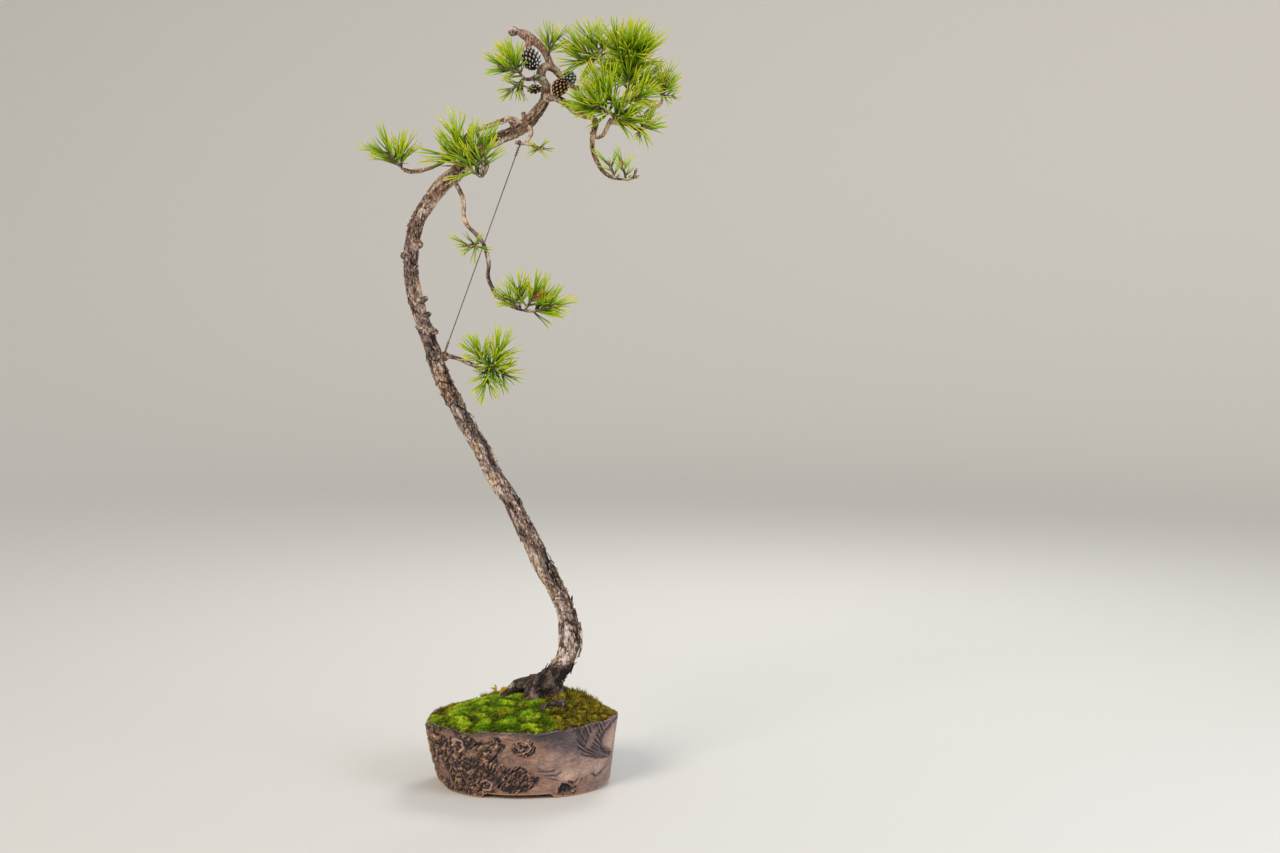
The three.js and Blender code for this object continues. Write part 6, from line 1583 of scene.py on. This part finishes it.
def steel_wire(wire):
    """Drawn and annealed wire gone dull outdoors: dark metal with rusty mottling of about 2 mm."""
    material, add, place, shader = new_material("annealed_steel_wire")
    mottle = add("ShaderNodeTexNoise", {"Vector": place, "Scale": 450.0, "Detail": 3.0})
    colour = add("ShaderNodeMix", {
        "Factor": mottle, 6: linear(wire.wire_colour), 7: "#a08a7c"}, data_type="RGBA")
    rough = add("ShaderNodeMapRange", [mottle, 0.3, 0.7, 0.35, 0.6])
    plug(shader, {"Base Color": colour, "Roughness": rough, "Metallic": 0.85})
    return material


def old_rubber(wire):
    """Extruded rubber tube, chalky with age: low gloss, with a faint bloom."""
    material, add, place, shader = new_material("aged_rubber_tube")
    bloom = add("ShaderNodeTexNoise", {"Vector": place, "Scale": 350.0, "Detail": 4.0})
    colour = add("ShaderNodeMix", {
        "Factor": bloom, 6: linear(wire.sleeve_colour), 7: "#b27a66"}, data_type="RGBA")
    bump = add("ShaderNodeBump", {"Height": bloom, "Strength": 0.3, "Distance": 0.0003})
    plug(shader, {"Base Color": colour, "Roughness": 0.62, "Normal": bump})
    return material


def seedling_leaf():
    """Thin young leaves: soft gloss, yellow-green with a lighter middle rib."""
    material, add, place, shader = new_material("seedling_leaf")
    along = add("ShaderNodeAttribute", attribute_name="along").outputs["Fac"]
    mottle = add("ShaderNodeTexNoise", {"Vector": place, "Scale": 260.0, "Detail": 3.0})
    level = add("ShaderNodeMath", [mottle, 0.5, along], operation="MULTIPLY_ADD", use_clamp=True)
    colour = add("ShaderNodeValToRGB", [level], [(0.2, "#a8741a"), (0.5, "#cfae2a"), (1.0, "#e8dd68")])
    bump = add("ShaderNodeBump", {"Height": mottle, "Strength": 0.3, "Distance": 0.0005})
    plug(shader, {"Base Color": colour, "Roughness": 0.5, "Normal": bump})
    return material


def potting_grit():
    """Baked clay grit and bark crumbs of 2 to 4 mm: damp, dark and rough."""
    material, add, place, shader = new_material("bonsai_soil")
    crumb = add("ShaderNodeTexVoronoi", {"Vector": place, "Scale": 330.0}).outputs
    colour = add("ShaderNodeValToRGB", [crumb["Color"]], [(0.0, "#2a1f18"), (0.5, "#463629"), (1.0, "#7a6248")])
    bump = add("ShaderNodeBump", {
        "Height": crumb["Distance"], "Strength": 0.9, "Distance": 0.002}, invert=True)
    plug(shader, {"Base Color": colour, "Roughness": 0.9, "Normal": bump})
    return material


def plastic_net():
    """Moulded plastic net: dark, with a dull shine and dust in its corners."""
    material, add, place, shader = new_material("black_polyethylene_net")
    dust = add("ShaderNodeTexNoise", {"Vector": place, "Scale": 380.0, "Detail": 3.0})
    colour = add("ShaderNodeMix", {"Factor": dust, 6: "#1a1f21", 7: "#3b4142"}, data_type="RGBA")
    bump = add("ShaderNodeBump", {"Height": dust, "Strength": 0.2, "Distance": 0.0003})
    plug(shader, {"Base Color": colour, "Roughness": 0.55, "Normal": bump})
    return material


class BonsaiWire(PropertyGroup):
    wire_colour: FloatVectorProperty(name="Wire", description="Aged wire",
                                     default=linear("#5d5250")[:3], **COLOUR)
    sleeve_colour: FloatVectorProperty(name="Sleeve", description="Rubber sleeve under the wire's ring",
                                       default=linear("#7c4a3d")[:3], **COLOUR)


class BONSAI_OT_wire(Operator):
    """Build the guy wire and the rubber sleeve that keeps it off the bark"""
    bl_idname = "bonsai.wire"
    bl_label = "Guy wire and sleeve"

    def execute(self, context):
        wire = context.scene.bonsai_wire
        top, foot = np.array(WIRE_TOP["at"], float), np.array(WIRE_FOOT["at"], float)

        def edge(hook, other):
            """Where the straight wire leaves the ring of a hook."""
            at, along = np.array(hook["at"], float), unit(hook["along"])
            out = other - at
            return at + unit(out - along * (out @ along)) * (hook["hole"] + WIRE_RADIUS)

        start, stop = edge(WIRE_TOP, foot), edge(WIRE_FOOT, top)
        way = unit(stop - start)
        side = unit(np.cross(way, [0, 1.0, 0]))
        other = np.cross(way, side)
        straight = [[*(start + (stop - start) * t), WIRE_RADIUS] for t in np.linspace(0, 1, 6)]
        parts = [plain_tube(straight, 8, 3.0), ring_of_wire(WIRE_TOP), ring_of_wire(WIRE_FOOT)]
        # At each end it is twisted three and a half times round itself
        for anchor, sign in ((start, 1), (stop, -1)):
            coil = []
            for t in np.linspace(0, 1, 40):
                turn = t * 2 * math.pi * 3.5
                coil.append([*(anchor + way * sign * (1.5 + 10 * t)
                               + 1.15 * (side * math.cos(turn) + other * math.sin(turn))), WIRE_RADIUS * 0.9])
            parts.append(plain_tube(coil, 8, 0.8))
        points, faces, _ = join_parts(parts)
        settle(mesh_piece("guy_wire_strand", points, faces, steel_wire(wire)), "wire", "guy_wire")
        along = unit(WIRE_FOOT["along"])
        side, up = axes_round(along)
        sides = 28
        turns = [k * 2 * math.pi / sides for k in range(sides)]
        points = [foot + along * reach + radius * (side * math.cos(turn) + up * math.sin(turn))
                  for radius, reach in SLEEVE for turn in turns]
        faces = grid_faces(len(SLEEVE), sides)
        last = (len(SLEEVE) - 1) * sides
        for k in range(sides):
            n = (k + 1) % sides
            faces.append([last + k, last + n, n, k])
        settle(mesh_piece("sleeve", points, faces, old_rubber(wire)), "sleeve_rubber", "wire_sleeve")
        return {"FINISHED"}


class BONSAI_OT_seedling(Operator):
    """Build the seedling at the trunk's foot, and finish the soil and the drain mesh"""
    bl_idname = "bonsai.seedling"
    bl_label = "Seedling, soil and drain mesh"

    def execute(self, context):
        x, y = -29, 13
        parts = []
        for route in ([[x, y, 86, 0.8], [x, y, 92, 0.7], [x - 1, y, 98, 0.5]],
                      [[x, y, 90, 0.6], [x + 4, y - 1, 95, 0.5]], [[x, y, 94, 0.6], [x - 4, y, 99, 0.5]],
                      [[x, y, 90, 0.6], [x + 1, y + 3, 95, 0.5]]):
            points, faces, _ = plain_tube(route, 8, 1.0)
            parts.append((points, faces, {"along": np.full(len(points), 0.1)}))
        # Each leaf: its foot, the way to its tip, and half its width
        blades = [([x, y, 92], [-8, -3, 8], 1.5), ([x - 1, y, 94], [-3, -3, 10], 1.0),
                  ([x + 2, y, 90], [14, -17, 14], 2.0), ([x + 1, y, 90], [8, -6, 12], 1.4),
                  ([x, y, 91], [-5, -6, 6], 1.2), ([x + 3, y, 92], [10, -8, 9], 1.4)]
        for foot, reach, wide in blades:
            foot, reach = np.array(foot, float), np.array(reach, float)
            side = unit(np.cross(reach, [0.25, 1.0, 0.3]))
            lift = np.cross(side, unit(reach))
            top = []
            for v in np.linspace(0, 1, 9):
                half = wide * (0.12 + 0.88 * math.sin(math.pi * min(1.0, v ** 0.8)) ** 0.8)
                half *= 1 if v < 0.99 else 0.1
                bow = np.array([1.2, 0, 3.0]) * math.sin(v * math.pi)
                for u in (-1, -0.5, 0, 0.5, 1):
                    top.append(foot + reach * v + bow + side * u * half + lift * abs(u) * half * 0.35)
            points, faces = slab(top, lift * 0.35, 9, 5)
            grow = np.repeat(np.linspace(0, 1, 9), 5) * 0.6 + np.tile([0, 0.05, 0.25, 0.05, 0], 9)
            parts.append((points, faces, {"along": np.r_[grow, grow * 0.6]}))
        points, faces, facts = join_parts(parts)
        settle(mesh_piece("seedling_leaves", points, faces, seedling_leaf(), facts), "seedling", "sprig")
        for node, material in (("soil", potting_grit()), ("drain_mesh", plastic_net())):
            for place in bpy.data.objects[node].material_slots:
                place.material = material
        return {"FINISHED"}


# Camera, floor and light
CAMERA_AT = [0.129, -1.924, 0.526]
CAMERA_DOWN = 4.05
FLOOR_TOP = -0.5


def studio_paper(stage):
    """Matte paper, with a grain of about 2 mm that only breaks the light a little."""
    material, add, place, shader = new_material("matte_studio_paper")
    grain = add("ShaderNodeTexNoise", {"Vector": place, "Scale": 500.0})
    tint = add("ShaderNodeMix", {
        "Factor": grain, 6: linear(stage.floor_colour), 7: linear([c * 0.94 for c in stage.floor_colour])},
        data_type="RGBA")
    plug(shader, {"Base Color": tint, "Roughness": 0.9})
    return material


class BonsaiStage(PropertyGroup):
    floor_colour: FloatVectorProperty(name="Floor", description="Colour of the paper floor",
                                      default=linear("#dddad4")[:3], **COLOUR)
    sun_strength: FloatProperty(name="Main light", description="Strength of the even light from the front left",
                                default=1.25, min=0, max=10)
    key_power: FloatProperty(name="Key light", description="Power of the large soft light at the front left",
                             default=10.0, min=0, max=500, unit="POWER")
    fill_power: FloatProperty(name="Fill light", description="Power of the soft light at the right",
                              default=15.0, min=0, max=500, unit="POWER")


class BONSAI_OT_stage(Operator):
    """Set the camera, the pale floor and the soft studio lights"""
    bl_idname = "bonsai.stage"
    bl_label = "Camera, floor and lights"

    def execute(self, context):
        scene = context.scene
        stage = scene.bonsai_stage
        camera = bpy.data.objects.new("camera", bpy.data.cameras.new("camera"))
        scene.collection.objects.link(camera)
        camera.location = POT_MIDDLE + np.array(CAMERA_AT)
        camera.rotation_euler = (math.radians(90 - CAMERA_DOWN), 0, 0)
        camera.data.lens = 50
        camera.data.sensor_width = 36
        camera.data.clip_start = 0.05
        scene.camera = camera
        # One sheet of paper, flat out to 3.2 m and then curving up all round
        sides = 64
        profile = [(0.5, FLOOR_TOP), (1200, FLOOR_TOP)] + [
            (3200 + 2600 * math.sin(t), FLOOR_TOP + 2600 * (1 - math.cos(t))) for t in np.linspace(0, 1.35, 14)]
        points = [[reach * math.cos(k * 2 * math.pi / sides), reach * math.sin(k * 2 * math.pi / sides), level]
                  for reach, level in profile for k in range(sides)]
        faces = grid_faces(len(profile), sides) + [list(range(sides))]
        mesh_piece("floor", points, faces, studio_paper(stage))
        scene.world = bpy.data.worlds.new("studio")
        scene.world.use_nodes = True
        plug(scene.world.node_tree.nodes["Background"], {"Color": "#e9edf0", "Strength": 0.5})

        def lamp(name, kind, power, colour, way):
            """A lamp that shines along a way, still at the world's origin."""
            light = bpy.data.lights.new(name, kind)
            light.energy, light.color = power, linear(colour)[:3]
            holder = bpy.data.objects.new(name, light)
            scene.collection.objects.link(holder)
            holder.rotation_euler = way.to_track_quat("-Z", "Y").to_euler()
            return holder

        for name, where, size, power, colour in (
                ("key", (-1.1, -1.5, 1.5), 0.9, stage.key_power, "#fff4e6"),
                ("fill", (1.5, -0.9, 1.1), 0.9, stage.fill_power, "#eef3ff"),
                ("back", (0.5, 1.4, 1.6), 0.7, stage.fill_power * 0.9, "#ffffff")):
            soft = lamp(name, "AREA", power, colour, Vector((0.0, 0.0, 0.42)) - Vector(where))
            soft.data.size = size
            soft.location = POT_MIDDLE + np.array(where)
        sun = lamp("sun", "SUN", stage.sun_strength, "#fff6ea", Vector((0.75, 1.0, -0.85)))
        sun.data.angle = math.radians(24)
        scene.view_settings.view_transform = "Standard"
        return {"FINISHED"}


GROUPS = {
    "bonsai_pot": BonsaiPot, "bonsai_wood": BonsaiWood, "bonsai_foliage": BonsaiFoliage,
    "bonsai_moss": BonsaiMoss, "bonsai_cones": BonsaiCones, "bonsai_wire": BonsaiWire,
    "bonsai_stage": BonsaiStage,
}
STEPS = [
    BONSAI_OT_stage, BONSAI_OT_tree, BONSAI_OT_flakes, BONSAI_OT_needles, BONSAI_OT_cones, BONSAI_OT_pot,
    BONSAI_OT_moss, BONSAI_OT_wire, BONSAI_OT_seedling,
]


class BONSAI_PT_sidebar(Panel):
    """The steps that build the bonsai, in their order"""
    bl_label = "Pitch pine bonsai"
    bl_idname = "BONSAI_PT_sidebar"
    bl_space_type = "VIEW_3D"
    bl_region_type = "UI"
    bl_category = "Bonsai"

    def draw(self, context):
        for group in GROUPS:
            settings = getattr(context.scene, group)
            box = self.layout.box()
            for key in settings.__annotations__:
                box.prop(settings, key)
        for step in STEPS:
            self.layout.operator(step.bl_idname)


CLASSES = [*GROUPS.values(), *STEPS, BONSAI_PT_sidebar]


def register():
    for kind in CLASSES:
        bpy.utils.register_class(kind)
    for name, kind in GROUPS.items():
        setattr(bpy.types.Scene, name, PointerProperty(type=kind))


def unregister():
    for name in GROUPS:
        delattr(bpy.types.Scene, name)
    for kind in reversed(CLASSES):
        bpy.utils.unregister_class(kind)


def main():
    register()
    for step in STEPS:
        family, name = step.bl_idname.split(".")
        getattr(getattr(bpy.ops, family), name)()


if __name__ == "__main__":
    main()
